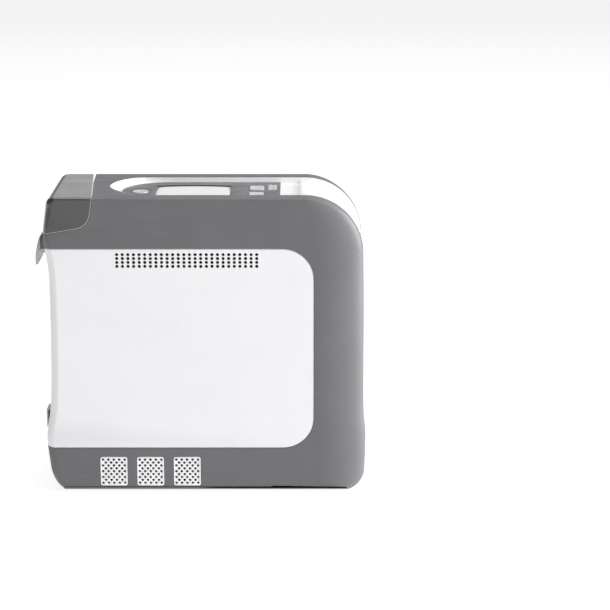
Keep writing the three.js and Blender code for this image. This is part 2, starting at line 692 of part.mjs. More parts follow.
function sieveBed(side) {
  const { x, y, radius, bottom, top } = BED;
  const can = rod(radius - 1, spot(x, side * y, bottom), spot(x, side * y, top), 20);
  const collar = (z) => rod(radius, spot(x, side * y, z), spot(x, side * y, z + 8), 20);
  return joined([can, collar(bottom), collar(top - 8)]);
}

const sieveManifold = () => block(39, 111, -35, 35, FAN.bottom + FAN.height + GAP + 1, BED.bottom - GAP);

function valveBlock() {
  const { left, right, near, far, top } = VALVES;
  return block(left, right, near, far, BED.bottom, top);
}

function solenoid(x) {
  const base = VALVES.top + GAP;
  const coil = rod(7, spot(x, 21, base + 2.7), spot(x, 21, base + 22.7), 14);
  const neck = rod(3.5, spot(x, 21, base), spot(x, 21, base + 4), 10);
  const flange = block(x - 5, x + 5, 16, 26, base, base + 1.7);
  return joined([coil, neck, flange]);
}

function productTank() {
  const { x, y, radius, bottom, top } = TANK;
  const can = rod(radius, spot(x, y, bottom), spot(x, y, top - 6), 20);
  const neck = rod(5, spot(x, y, top - 8), spot(x, y, top), 12);
  return can.add(neck);
}

function crankcase() {
  const { x, y, z, bore, barrel, reach } = PUMP;
  const crankcaseBlock = (inset) => {
    const { halfX, halfZ, near, far } = CRANKCASE;
    const [dx, dz] = [halfX - inset, halfZ - inset];
    return block(x - dx, x + dx, y + near + inset, y + far - inset, z - dz, z + dz);
  };
  const body = crankcaseBlock(0);
  const room = crankcaseBlock(CRANKCASE.wall);
  const barrels = rod(barrel, spot(x - reach, y, z), spot(x + reach, y, z), 20);
  const bores = rod(bore, spot(x - reach - 1, y, z), spot(x + reach + 1, y, z), 20);
  const shaftWay = rod(3.6, spot(x, y, z), spot(x, y + 20, z), 12);
  return joined([body, barrels]).subtract(bores).subtract(room).subtract(shaftWay);
}

const HEAD_PORT_TOP = PUMP.z + PUMP.barrel + 4;
const headPortX = (side) => PUMP.x + side * (PUMP.reach + 3);

function cylinderHead(side) {
  const { x, y, z, barrel, reach } = PUMP;
  const plate = rod(barrel, spot(x + side * (reach + GAP), y, z), spot(x + side * (reach + 6), y, z), 20);
  const port = rod(2.4, spot(headPortX(side), y, z), spot(headPortX(side), y, HEAD_PORT_TOP), 10);
  return plate.add(port);
}

// Two opposed pistons on one rod, with a yoke whose slot is driven by the eccentric pin.
function pistonYoke() {
  const { x, y, z, bore, reach, stroke } = PUMP;
  const crown = reach - stroke - 2;
  const radius = bore - 0.35;
  const at = (dx) => spot(x + dx, y, z);
  const piston = (side) => rod(radius, at(side * (crown - 8)), at(side * crown), 20);
  const bar = rod(3, at(4 - crown), at(crown - 4), 10);
  const yoke = block(x - 10.6, x + 10.6, y - 3, y + 3, z - 13, z + 13);
  const slot = block(x - 9.4, x + 9.4, y - 5, y + 5, z - 10.4, z + 10.4);
  return joined([piston(-1), piston(1), bar, yoke]).subtract(slot);
}

function motorStator() {
  const { x, y, z } = PUMP;
  const can = rod(18.5, spot(x, y + 14 + GAP, z), spot(x, y + 42, z), 24);
  const room = rod(13, spot(x, y + 14, z), spot(x, y + 39.5, z), 20);
  return can.subtract(room);
}

function motorShaft() {
  const { x, y, z, stroke } = PUMP;
  const at = (dy, dz = 0) => spot(x, y + dy, z + dz);
  const rotor = rod(12.4, at(17), at(37), 20);
  const shaft = rod(3.2, at(3.6), at(38.6), 12);
  const web = rod(6.4, at(4), at(8), 14);
  return joined([rotor, shaft, web, rod(2.4, at(-4, -stroke), at(6, -stroke), 12)]);
}

function pumpMount(side) {
  const x = PUMP.x + side * 12;
  const base = CHASSIS.floor + CHASSIS.sheet + GAP;
  const top = PUMP.z - CRANKCASE.halfZ - GAP;
  const disc = (radius, from, to) => rod(radius, spot(x, PUMP.y, from), spot(x, PUMP.y, to), 12);
  return joined([disc(4, base, top), disc(5.6, base, base + 3), disc(5.6, top - 3, top)]);
}

function intakeSilencer() {
  const port = rod(4, spot(150, -10, 120), spot(150, -5, 120), 12);
  return block(126, 164, -6, 34, 98, 144).add(port);
}

function pulseValve() {
  const port = rod(4, spot(192, 0, 118), spot(192, 0, 125), 12);
  return block(182, 203, -14, 14, 124, 148).add(port);
}

function outletFilter() {
  return rod(9, spot(180, 0, BARB.z), spot(BARB.base - 2, 0, BARB.z), 16);
}

function feedHose() {
  const head = spot(headPortX(-1), PUMP.y, HEAD_PORT_TOP + GAP);
  const way = [spot(124.5, PUMP.y, 72), spot(121, 12, 76), spot(114, 24, 75)];
  return tube([head, ...way, spot(VALVES.right + 0.5, 24, 75)], HOSE);
}

function intakeHose() {
  const head = spot(headPortX(1), PUMP.y, HEAD_PORT_TOP + GAP);
  const rise = [spot(205, -6.5, 70), spot(203, -9, 78), spot(190, -22, 92)];
  const across = [spot(160, -27, 116), spot(150, -20, 120), spot(150, -10.4, 120)];
  return tube([head, ...rise, ...across], HOSE, 14);
}

function productHose() {
  const tank = spot(TANK.x, TANK.y, TANK.top + GAP);
  const over = [spot(94.3, -20, 156), spot(106, -20, 162), spot(125, -20, 162), spot(160, -24, 156)];
  const down = [spot(184, -22, 128), spot(170, -14, 106), spot(173, 0, BARB.z), spot(179.7, 0, BARB.z)];
  return tube([tank, ...over, ...down], HOSE, 18);
}

function fanFrame() {
  const { x, y, bottom, height, half, duct, hub } = FAN;
  const body = block(x - half, x + half, y - half, y + half, bottom, bottom + height);
  const way = rod(duct, spot(x, y, bottom - 1), spot(x, y, bottom + height + 1), 24);
  const struts = [
    block(x - duct - 1, x + duct + 1, y - 1.2, y + 1.2, bottom, bottom + 1.6),
    block(x - 1.2, x + 1.2, y - duct - 1, y + duct + 1, bottom, bottom + 1.6),
    rod(hub, spot(x, y, bottom), spot(x, y, bottom + 1.6), 16),
    rod(1.4, spot(x, y, bottom + 1), spot(x, y, bottom + 10), 8),
  ];
  return body.subtract(way).add(joined(struts));
}

function fanRotor() {
  const { x, y, bottom, height, duct, hub, blades } = FAN;
  const base = bottom + 2.4;
  const top = bottom + height - 1;
  const parts = [rod(hub, spot(x, y, base), spot(x, y, top), 18)];
  for (let i = 0; i < blades; i += 1) {
    const blade = new THREE.BoxGeometry(duct - hub + 0.4, 1.2, 12)
      .rotateX(0.75)
      .translate((duct + hub) / 2 - 0.8, 0, (base + top) / 2)
      .rotateZ((2 * PI * i) / blades)
      .translate(x, y, 0);
    parts.push(solid(blade));
  }
  const bearing = rod(1.8, spot(x, y, base - 1), spot(x, y, top - 1.6), 8);
  return joined(parts).subtract(bearing);
}

// ---- finishes and assembly ----------------------------------------------------------------------

const finish = (color, roughness, metalness = 0) => ({ color, roughness, metalness });
const FINISH = {
  shellGrey: finish(0x6f7073, 0.55),
  panelWhite: finish(0xf3f3f4, 0.45),
  trayWhite: finish(0xf4f4f5, 0.4),
  controlGrey: finish(0x77767a, 0.5),
  display: finish(0xe9e7e2, 0.25),
  keyGrey: finish(0xd8d9dc, 0.45),
  lens: finish(0xb9bec8, 0.3),
  smoke: finish(0x55504c, 0.25),
  leverGrey: finish(0xd9d6d2, 0.4),
  rubber: finish(0x2b2b2c, 0.85),
  coverGrey: finish(0xb4b4b6, 0.8),
  blackPlastic: finish(0x1f2022, 0.6),
  board: finish(0x1e5a38, 0.5),
  cell: finish(0x3c6f9e, 0.4),
  steel: finish(0xb9bcc0, 0.35, 1),
  copper: finish(0xb87333, 0.4, 1),
  aluminium: finish(0xc6c9cc, 0.4, 1),
  foam: finish(0x3a3b3d, 0.95),
  hose: finish(0xdfe3e6, 0.35),
};

const unit = new THREE.Group();

function add(name, body, look) {
  const made = body.getMesh();
  const geometry = new THREE.BufferGeometry();
  geometry.setAttribute("position", new THREE.BufferAttribute(made.vertProperties, 3));
  geometry.setIndex(new THREE.BufferAttribute(made.triVerts, 1));
  const mesh = new THREE.Mesh(geometry, new THREE.MeshStandardMaterial(look));
  mesh.name = name;
  unit.add(mesh);
}

add("front_shell", frontShell(), FINISH.shellGrey);
add("back_shell", backShell(), FINISH.shellGrey);
add("front_panel", frontPanel(), FINISH.panelWhite);
add("back_panel", backPanel(), FINISH.panelWhite);
add("filter_cover", filterCover(), FINISH.panelWhite);
add("intake_filter", intakeFilter(), FINISH.foam);
GRILLE.lefts.forEach((left, i) => add(`exhaust_grille_${i + 1}`, exhaustGrille(left), FINISH.panelWhite));
FOOT.xs
  .flatMap((x) => FOOT.ys.map((y) => [x, y]))
  .forEach(([x, y], i) => add(`foot_${i + 1}`, foot(x, y), FINISH.rubber));
screwSpots.forEach(([x, z], i) => add(`shell_screw_${i + 1}`, shellScrew(x, z), FINISH.steel));

add("spine_tray", spineTray(), FINISH.trayWhite);
add("control_panel", controlPanel(), FINISH.controlGrey);
add("lcd_window", lcdWindow(), FINISH.display);
add("power_button", powerButton(), FINISH.keyGrey);
add("increase_button", keyButton(KEY.nears[0]), FINISH.keyGrey);
add("decrease_button", keyButton(KEY.nears[1]), FINISH.keyGrey);
add("indicator_lens", indicatorLens(), FINISH.lens);
add("display_board", displayBoard(), FINISH.board);

add("battery_head", batteryHead(), FINISH.smoke);
add("battery_case", batteryCase(), FINISH.blackPlastic);
add("battery_cells", batteryCells(), FINISH.cell);
add("battery_contacts", batteryContacts(), FINISH.copper);
add("battery_bay", batteryBay(), FINISH.blackPlastic);
add("bay_connector", bayConnector(), FINISH.copper);
add("release_lever", releaseLever(), FINISH.leverGrey);
add("lever_pin", leverPin(), FINISH.steel);
add("lever_spring", leverSpring(), FINISH.steel);
add("dc_jack", dcJack(), FINISH.blackPlastic);
add("jack_cover", jackCover(), FINISH.coverGrey);

add("chassis", chassis(), FINISH.aluminium);
add("main_board", mainBoard(), FINISH.board);
add("sieve_bed_1", sieveBed(-1), FINISH.aluminium);
add("sieve_bed_2", sieveBed(1), FINISH.aluminium);
add("sieve_manifold", sieveManifold(), FINISH.blackPlastic);
add("valve_block", valveBlock(), FINISH.aluminium);
VALVES.solenoids.forEach((x, i) => add(`solenoid_${i + 1}`, solenoid(x), FINISH.steel));
add("product_tank", productTank(), FINISH.aluminium);
add("crankcase", crankcase(), FINISH.aluminium);
add("cylinder_head_1", cylinderHead(-1), FINISH.aluminium);
add("cylinder_head_2", cylinderHead(1), FINISH.aluminium);
add("piston_yoke", pistonYoke(), FINISH.steel);
add("motor_stator", motorStator(), FINISH.steel);
add("motor_shaft", motorShaft(), FINISH.steel);
add("pump_mount_1", pumpMount(-1), FINISH.rubber);
add("pump_mount_2", pumpMount(1), FINISH.rubber);
add("intake_silencer", intakeSilencer(), FINISH.blackPlastic);
add("pulse_valve", pulseValve(), FINISH.steel);
add("outlet_filter", outletFilter(), FINISH.hose);
add("oxygen_outlet", oxygenOutlet(), FINISH.steel);
add("feed_hose", feedHose(), FINISH.hose);
add("intake_hose", intakeHose(), FINISH.hose);
add("product_hose", productHose(), FINISH.hose);
add("fan_frame", fanFrame(), FINISH.blackPlastic);
add("fan_rotor", fanRotor(), FINISH.blackPlastic);

// The origin lies on the ground under the middle of the object's box.
const LEFT_END = LEVER.tipX;
const RIGHT_END = max(...OUTLINE.map(({ x }) => x));
unit.position.set(-(LEFT_END + RIGHT_END) / 2, 0, FOOT.proud);

export default unit;
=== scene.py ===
"""Looks of a portable oxygen concentrator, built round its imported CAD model."""

from math import acos, cos, hypot, pi, radians, sin

import bmesh
import bpy
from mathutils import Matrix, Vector
from mathutils.bvhtree import BVHTree
from mathutils.geometry import barycentric_transform


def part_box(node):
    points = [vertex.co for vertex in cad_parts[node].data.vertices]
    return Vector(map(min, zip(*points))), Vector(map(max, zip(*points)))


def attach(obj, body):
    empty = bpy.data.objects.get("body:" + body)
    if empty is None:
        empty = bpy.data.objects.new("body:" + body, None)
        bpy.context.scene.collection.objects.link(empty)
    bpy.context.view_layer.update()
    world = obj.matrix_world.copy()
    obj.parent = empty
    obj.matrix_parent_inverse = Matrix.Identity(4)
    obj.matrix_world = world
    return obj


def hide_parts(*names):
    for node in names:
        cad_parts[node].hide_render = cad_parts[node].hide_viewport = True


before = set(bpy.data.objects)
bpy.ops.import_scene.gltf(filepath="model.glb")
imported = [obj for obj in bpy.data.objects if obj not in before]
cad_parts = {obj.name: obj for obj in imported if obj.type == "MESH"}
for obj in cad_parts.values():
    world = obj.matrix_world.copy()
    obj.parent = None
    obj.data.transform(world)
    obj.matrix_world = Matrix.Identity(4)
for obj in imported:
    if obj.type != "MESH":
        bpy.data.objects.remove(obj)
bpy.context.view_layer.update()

MM = 0.001
SHELL_LOW, SHELL_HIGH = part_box("front_shell")

# Drawing frame, in millimetres: x from the casing's left datum, y from its mid plane, z from its
# underside. The casing's right end and underside give its place in the row frame.
RIGHT_END = 221.6
ORIGIN = Vector((SHELL_HIGH.x / MM - RIGHT_END, 0, SHELL_LOW.z / MM))

HEIGHT = (SHELL_HIGH.z - SHELL_LOW.z) / MM
BACK = -SHELL_LOW.y / MM
FRONT = -BACK
RIGHT_FOOT = 221  # x of the right end beside the underside
RIGHT_BROW = 219.2  # x of the right end beside the top
LEFT_BROW = 2  # x of the left end beside the top
TOP_CORNER = 40
LEFT_CORNER = 6.6
BOTTOM_CORNER = 12.5
EDGE = (2.2, 2.5)  # fillet along the top and the bottom: width, depth
LEFT_ROLL = (6, 8)  # fillet round the left end: width, depth
LEFT_WAIST = {"width": 4, "z": 187, "half": 17}  # where that fillet narrows, at the battery's cap
RIGHT_ROLL = (32, 11)
PARTING_Y = 11
GAP = 0.3
SKIN = 1.6  # thickness of the white panels
WALL = SKIN + GAP + 1.7
ROLL_STEPS = 10  # steps in a quarter turn of a roll
PAST = (-30, 250)  # x range that goes past the casing on both sides

PANEL = {"right": 185, "bottom": 31.2, "top": 173.6, "radius": 21.5}
VENT = {"columns": 26, "rows": 4, "left": 50.4, "top": 169.7, "pitch": (3.824, 2.73), "hole": 1.15}
BORDER_STEPS = ((0.6, 0.2), (0.3, 0.45))  # rebates round a white panel: width, depth
DUCT = (47, 158.5, 149.5, 172)  # opening behind the vent holes: left, bottom, right, top
DUCT_DEPTH = WALL - 0.5
GRILLE = {"lefts": (35.5, 61.2, 86.9), "width": 18.9, "bottom": 3.3, "top": 24.4, "corner": 1.5}
GRILLE_HOLES = {"rows": 9, "columns": 5, "pitch": (3.8, 2.13), "hole": 0.95}

RECESS = {"tip": 42.6, "tip_y": -1, "full": 66.8, "near": -34.1, "far": 31.8, "end": 62}
RECESS_RADIUS = (RECESS["far"] - RECESS["near"]) / 2 - 6  # of the recess's lower corners
FLOOR_DROP = 4.6
PAD_RISE = 0.55
FLOOR_Z = HEIGHT - FLOOR_DROP
CONTROL = {"left": 51.4, "right": 161.7, "near": -32.4, "far": 29.4}
CONTROL_TOP = FLOOR_Z + GAP + 1
PAD_START = 174.6  # where the tray's floor steps up to the pad that runs round the corner
PAD_STEP = 0.7
LCD = {"left": 75.3, "right": 126.8, "near": -22, "far": 11, "bulge": 3.6}
POWER = {"x": 64.3, "y": -6.3, "radius": 5.5}
KEY = {"left": 140.2, "right": 150.4, "length": 14.7, "nears": (-0.7, -23)}
KEY_MARK_Z = (205.75, 208)
POWER_MARK_Z = (204, 208)
LAMP = {"left": 153, "right": 159.4, "near": 1, "far": 19.5}

CAP = {"top": 34.3, "side": 33, "side_z": 199.4, "corner": (21, 187.1), "slope": 0.16}
CAP_SLANT = -7.6 / (2 * BACK)
SHELL_SLANT = -0.04
CAP_WALL = 2.3
# width of the lighter strip round the cap's rim, a painted highlight along the seam
RIM_HIGHLIGHT_WIDTH = 0.35
LIP = {"half_y": 22, "reach": -5.3, "bottom": 168.5, "top": 186.5, "plate": 1.7}
LEVER = {"x": 3.6, "z": 166, "half_y": 15, "tip": (-9.2, 155.7)}
LEVER_POCKET_Z = (160.6, 170.6)
JACK = {"y": -21, "z": 46, "hole": 5.1}
COVER_HINGE = {"x": 0.9, "z": 53.4, "y": (-27, -15), "radius": 0.7}
SCREWS = ((40, 15), (196, 178))
SCREW_SINK = (3.8, 2.4)  # radius, depth
BARB = {"z": 100, "tip": 217.6, "base": 205}
POCKET_HALF = 12
CUP_WALL = 1.6
FILTER = {"left": 122, "right": 180, "bottom": 92, "top": 150}

MIX_A, MIX_B, MIX_RESULT = 6, 7, 2  # colour sockets of a Mix node
CAMERA_PLACE = (0.0728, -1.3759, 0.4769)
CAMERA_PITCH = 14.4  # degrees below the horizon
FOCAL_LENGTH, SENSOR_WIDTH = 118.03, 36


# ---- mesh tools ----------------------------------------------------------------------------------


def placed(x, y, z):
    """A drawing point, in millimetres, as a point of the row frame, in metres."""
    return (Vector((x, y, z)) + ORIGIN) * MM


def piece_from(name, bm):
    bmesh.ops.recalc_face_normals(bm, faces=bm.faces)
    mesh = bpy.data.meshes.new(name)
    bm.to_mesh(mesh)
    bm.free()
    piece = bpy.data.objects.new(name, mesh)
    bpy.context.scene.collection.objects.link(piece)
    return piece


def loft(name, rings):
    """A closed solid through rings of drawing points, with flat caps at both ends."""
    bm = bmesh.new()
    made = [[bm.verts.new(placed(*p)) for p in ring] for ring in rings]
    count = len(rings[0])
    for lower, upper in zip(made, made[1:]):
        for i in range(count):
            j = (i + 1) % count
            bm.faces.new((lower[i], lower[j], upper[j], upper[i]))
    bm.faces.new(made[0])
    bm.faces.new(made[-1])
    return piece_from(name, bm)


def prism_y(name, outline, y0, y1):
    return loft(name, [[(x, y, z) for x, z in outline] for y in (y0, y1)])


def prism_z(name, outline, z0, z1):
    return loft(name, [[(x, y, z) for x, y in outline] for z in (z0, z1)])


def prism_x(name, outline, x0, x1):
    return loft(name, [[(x, y, z) for y, z in outline] for x in (x0, x1)])


def block(name, x, y, z):
    return prism_z(name, [(x[0], y[0]), (x[1], y[0]), (x[1], y[1]), (x[0], y[1])], *z)


def circle(x, z, radius, sides=24):
    turns = [2 * pi * i / sides for i in range(sides)]
    return [(x + radius * cos(a), z + radius * sin(a)) for a in turns]


def arc(x, y, radius, start, end, steps=8):
    """Points round part of a circle, or of an ellipse where radius is a pair; angles in degrees."""
    rx, ry = radius if isinstance(radius, tuple) else (radius, radius)
    turns = [radians(start + (end - start) * i / steps) for i in range(steps + 1)]
    return [(x + rx * cos(a), y + ry * sin(a)) for a in turns]


def rounded(left, bottom, right, top, radius, steps=6):
    corners = [(right, bottom, -90), (right, top, 0), (left, top, 90), (left, bottom, 180)]
    outline = []
    for x, y, start in corners:
        inward_x = -radius if x == right else radius
        inward_y = -radius if y == top else radius
        outline += arc(x + inward_x, y + inward_y, radius, start, start + 90, steps)
    return outline


def bezier(p0, p1, p2, p3, steps=10):
    points = []
    for i in range(steps + 1):
        t = i / steps
        weights = ((1 - t) ** 3, 3 * t * (1 - t) ** 2, 3 * t * t * (1 - t), t**3)
        points.append(tuple(sum(w * p[k] for w, p in zip(weights, (p0, p1, p2, p3))) for k in (0, 1)))
    return points


def quadratic(p0, p1, p2, steps=10):
    points = []
    for i in range(steps + 1):
        t = i / steps
        weights = ((1 - t) ** 2, 2 * t * (1 - t), t * t)
        points.append(tuple(sum(w * p[k] for w, p in zip(weights, (p0, p1, p2))) for k in (0, 1)))
    return points


def joined(name, pieces):
    """Several separate closed meshes as one object."""
    bm = bmesh.new()
    for piece in pieces:
        bm.from_mesh(piece.data)
        bpy.data.objects.remove(piece)
    return piece_from(name, bm)


def carve(piece, operation, *tools):
    """Joins, cuts or intersects piece with each tool in turn; the tools are used up."""
    for tool in tools:
        modifier = piece.modifiers.new("carve", "BOOLEAN")
        modifier.operation = operation
        modifier.solver = "MANIFOLD"
        modifier.object = tool
        result = bpy.data.meshes.new_from_object(
            piece.evaluated_get(bpy.context.evaluated_depsgraph_get())
        )
        piece.modifiers.clear()
        piece.data = result
        bpy.data.objects.remove(tool)
    return piece


def cut(piece, *tools):
    return carve(piece, "DIFFERENCE", *tools)


def keep(piece, *tools):
    return carve(piece, "INTERSECT", *tools)


def add(piece, *tools):
    return carve(piece, "UNION", *tools)


# ---- the casing's outer form ---------------------------------------------------------------------


def spline_through(points, steps):
    """Uniform Catmull-Rom curve through the points, without its last point."""
    made = []
    for i in range(len(points) - 1):
        p1, p2 = Vector(points[i]), Vector(points[i + 1])
        p0 = Vector(points[max(i - 1, 0)])
        p3 = Vector(points[min(i + 2, len(points) - 1)])
        v0, v1 = (p2 - p0) / 2, (p3 - p1) / 2
        for k in range(steps):
            t = k / steps
            a = 2 * t**3 - 3 * t * t + 1
            b = t**3 - 2 * t * t + t
            made.append(tuple(a * p1 + b * v0 + (1 - a) * p2 + (t**3 - t * t) * v1))
    return made


def broad_outline():
    """Side view of the casing, anticlockwise from the left end of its underside."""
    right_side = [
        (RIGHT_FOOT, BOTTOM_CORNER), (221.57, 38), (220, 62), (219.8, 130),
        (RIGHT_BROW, HEIGHT - TOP_CORNER),
    ]
    left_side = [
        (LEFT_BROW, HEIGHT - LEFT_CORNER), (-0.4, 184), (0.4, 172), (2.8, 150),
        (2.4, 90), (1.2, 60), (-1.9, 38), (-0.4, 19),
    ]
    points = [(10, 0)]
    points += arc(RIGHT_FOOT - BOTTOM_CORNER, BOTTOM_CORNER, BOTTOM_CORNER, -90, 0, 12)[:-1]
    points += spline_through(right_side, 8)
    points += arc(RIGHT_BROW - TOP_CORNER, HEIGHT - TOP_CORNER, TOP_CORNER, 0, 90, 28)
    points += arc(LEFT_BROW + LEFT_CORNER, HEIGHT - LEFT_CORNER, LEFT_CORNER, 90, 180, 12)[:-1]
    points += spline_through(left_side, 6)
    points += quadratic((-0.4, 19), (0.6, 4.5), (10, 0), 10)[:-1]
    return points


def with_normals(points):
    """Each point with its outward normal; a corner beside a long flat takes the flat's own normal."""
    long_flat = 60
    made = []
    count = len(points)
    for i, (x, z) in enumerate(points):
        before, after = Vector(points[i - 1]), Vector(points[(i + 1) % count])
        here = Vector((x, z))
        back_step, fore_step = (here - before), (after - here)
        if back_step.length > long_flat or fore_step.length > long_flat:
            along = back_step if back_step.length > fore_step.length else fore_step
        else:
            along = back_step.normalized() + fore_step.normalized()
        along.normalize()
        made.append((x, z, along.y, -along.x))
    return made


OUTLINE = with_normals(broad_outline())


def rounding(radius, inset):
    return max(radius - inset, 0.4)


def roll_at(z, nx):
    """Width and depth of the fillet round the end of the casing that a point's normal faces."""
    if nx > 1e-6:
        return RIGHT_ROLL
    width, depth = LEFT_ROLL
    nearness = max(0, 1 - abs(z - LEFT_WAIST["z"]) / LEFT_WAIST["half"])
    return width - (width - LEFT_WAIST["width"]) * nearness, depth


def skin_ring(inset, side, turn):
    ring = []
    reach = 1 - sin(turn)
    for x, z, nx, nz in OUTLINE:
        width, depth = roll_at(z, nx)
        drop = hypot(rounding(depth, inset) * nx, rounding(EDGE[1], inset) * nz) * (1 - cos(turn))
        ring.append((
            x - nx * (inset + rounding(width, inset) * reach),
            side * (BACK - inset - drop),
            z - nz * (inset + rounding(EDGE[0], inset) * reach),
        ))
    return ring


def form(name, inset=0.0):
    """The whole casing as one filled form, pulled in by the inset."""
    turns = [pi / 2 * i / ROLL_STEPS for i in range(ROLL_STEPS + 1)]
    rings = [skin_ring(inset, 1, turn) for turn in turns]
    rings += [skin_ring(inset, -1, turn) for turn in reversed(turns)]
    return loft(name, rings)


SURFACE = form("surface")


def triangle_table(piece):
    """The piece's triangles with a vertex normal for each corner, weighted by face area."""
    bm = bmesh.new()
    bm.from_mesh(piece.data)
    bmesh.ops.triangulate(bm, faces=bm.faces)
    totals = [Vector() for _ in bm.verts]
    for face in bm.faces:
        for vertex in face.verts:
            totals[vertex.index] += face.normal * face.calc_area()
    triangles = [[v.index for v in face.verts] for face in bm.faces]
    places = [v.co.copy() for v in bm.verts]
    bm.free()
    return places, [total.normalized() for total in totals], triangles


PLACES, NORMALS, TRIANGLES = triangle_table(SURFACE)
SURFACE_TREE = BVHTree.FromPolygons(PLACES, TRIANGLES)
bpy.data.objects.remove(SURFACE)


def form_normal(point, flat):
    """The form's smooth normal at the nearest skin point, or None off the skin."""
    near, normal, index, distance = SURFACE_TREE.find_nearest(point)
    if near is None or distance > 0.12 * MM or abs(normal.dot(flat)) < 0.93:
        return None
    corners = TRIANGLES[index]
    smooth = barycentric_transform(near, *(PLACES[k] for k in corners), *(NORMALS[k] for k in corners))
    return smooth.normalized() * (1 if normal.dot(flat) > 0 else -1)


def shade(piece, crease=35, follow_form=True):
    """Smooth shading with creases, and the casing's own curvature wherever a face lies on its skin."""
    mesh = piece.data
    bm = bmesh.new()
    bm.from_mesh(mesh)
    for edge in bm.edges:
        edge.smooth = len(edge.link_faces) == 2 and edge.calc_face_angle(pi) < radians(crease)
    for face in bm.faces:
        face.smooth = True
    bm.to_mesh(mesh)
    bm.free()
    if not follow_form:
        return
    normals = [corner.vector.copy() for corner in mesh.corner_normals]
    for polygon in mesh.polygons:
        for index in polygon.loop_indices:
            point = mesh.vertices[mesh.loops[index].vertex_index].co
            normal = form_normal(point, polygon.normal)
            if normal is not None:
                normals[index] = normal
    mesh.normals_split_custom_set(normals)


def soften(piece, width, crease=40, segments=2):
    """Small round along the sharp edges, after flat triangles are merged back into faces."""
    bm = bmesh.new()
    bm.from_mesh(piece.data)
    bmesh.ops.remove_doubles(bm, verts=bm.verts, dist=0.002 * MM)
    bmesh.ops.dissolve_limit(bm, angle_limit=radians(0.3), verts=bm.verts, edges=bm.edges)
    sharp = [e for e in bm.edges if len(e.link_faces) == 2 and e.calc_face_angle(0) > radians(crease)]
    bmesh.ops.bevel(
        bm, geom=sharp, offset=width * MM, segments=segments, profile=0.5,
        affect="EDGES", clamp_overlap=True,
    )
    bm.to_mesh(piece.data)
    bm.free()
    return piece


# ---- cutting forms -------------------------------------------------------------------------------


def front_of(y):
    return block("front_of", PAST, (FRONT - 5, y), (-20, 250))


def back_of(y):
    return block("back_of", PAST, (y, BACK + 5), (-20, 250))


def panel_window(grow):
    right, radius = PANEL["right"], PANEL["radius"]
    bottom, top = PANEL["bottom"], PANEL["top"]
    outline = [(-30, bottom - grow)]
    outline += arc(right - radius, bottom + radius, radius + grow, -90, 0, 14)
    outline += arc(right - radius, top - radius, radius + grow, 0, 90, 14)
    outline += [(-30, top + grow)]
    return prism_y("panel_window", outline, FRONT - 5, BACK + 5)


def cap_region(grow, slant, pivot_y):
    """The region of the battery's cap, seen on the broad side and slanted through the thickness."""
    side, side_z = CAP["side"] + grow, CAP["side_z"]
    corner_x, corner_z = CAP["corner"]
    outline = [(-30, HEIGHT + 10), (-30, corner_z - CAP["slope"] * (corner_x + 30) - grow)]
    outline += bezier(
        (corner_x, corner_z - grow), (27.5 + grow, 188 - grow), (31.8 + grow, 190.5 - grow),
        (side, side_z), 12,
    )
    outline += [(CAP["top"] + grow, HEIGHT), (CAP["top"] + grow, HEIGHT + 10)]
    rings = []
    for y in (FRONT - 5, BACK + 5):
        shift = CAP_SLANT * (pivot_y - FRONT) + slant * (y - pivot_y)
        rings.append([(x + shift, y, z) for x, z in outline])
    return loft("cap_region", rings)


def recess_plan(inset):
    tip, tip_y, full = RECESS["tip"], RECESS["tip_y"], RECESS["full"]
    near, far = RECESS["near"] + inset, RECESS["far"] - inset
    outline = [(250, near), (250, far)]
    outline += arc(full, tip_y, (full - tip - inset, far - tip_y), 90, 180, 20)[:-1]
    outline += quadratic((tip + inset, tip_y), (tip + 1.5 + inset, -14), (full - 5 + inset, near), 14)
    return prism_z("recess_plan", outline, 150, HEIGHT + 11)


def recess_end(inset):
    near, far, end = RECESS["near"] + inset, RECESS["far"] - inset, RECESS["end"] + inset
    return prism_x("recess_end", rounded(near, end, far, 260, RECESS_RADIUS - inset, 16), 175, 230)


def cut_recess(piece, inset):
    return cut(piece, recess_plan(inset), recess_end(inset))


def rod_y(x, z, radius, y0, y1, sides=24):
    return prism_y("rod", circle(x, z, radius, sides), y0, y1)


def lever_pocket():
    half = LEVER["half_y"] + 1.5
    return block("lever_pocket", (-20, 6.3), (-half, half), LEVER_POCKET_Z)


def jack_hole():
    return prism_x("jack_hole", circle(JACK["y"], JACK["z"], JACK["hole"]), -20, 12)


# ---- casing --------------------------------------------------------------------------------------


def casing_shell(name, cap_cuts, side_cut, wall):
    shell = cut(form(name), form("inside", WALL))
    cut(shell, cut(panel_window(GAP), form("behind_panel", SKIN + GAP)))
    cut(shell, *cap_cuts)
    add(shell, wall)
    cut_recess(shell, -GAP)
    cut(shell, lever_pocket())
    return keep(shell, side_cut)


def bulkhead(slant, pivot_y):
    """Wall that follows the cap's edge and closes the casing beside the battery."""
    sheet = cut(cap_region(GAP + 2, slant, pivot_y), cap_region(GAP, slant, pivot_y))
    beside = block("beside", (29.1, 60), (FRONT, BACK), (150, HEIGHT + 5))
    return keep(sheet, form("within", WALL - 0.4), beside)


def front_shell():
    shell = casing_shell(
        "front_shell_skin", [cap_region(GAP, CAP_SLANT, FRONT)], front_of(PARTING_Y - GAP / 2),
        bulkhead(CAP_SLANT, FRONT),
    )
    duct = prism_y("duct", rounded(*DUCT, 3), FRONT - 5, FRONT + DUCT_DEPTH)
    cut(shell, duct, jack_hole())
    for left in GRILLE["lefts"]:
        cut(shell, prism_y("grille_cut", grille_outline(left, GAP), FRONT - 5, FRONT + 8))
    return shell


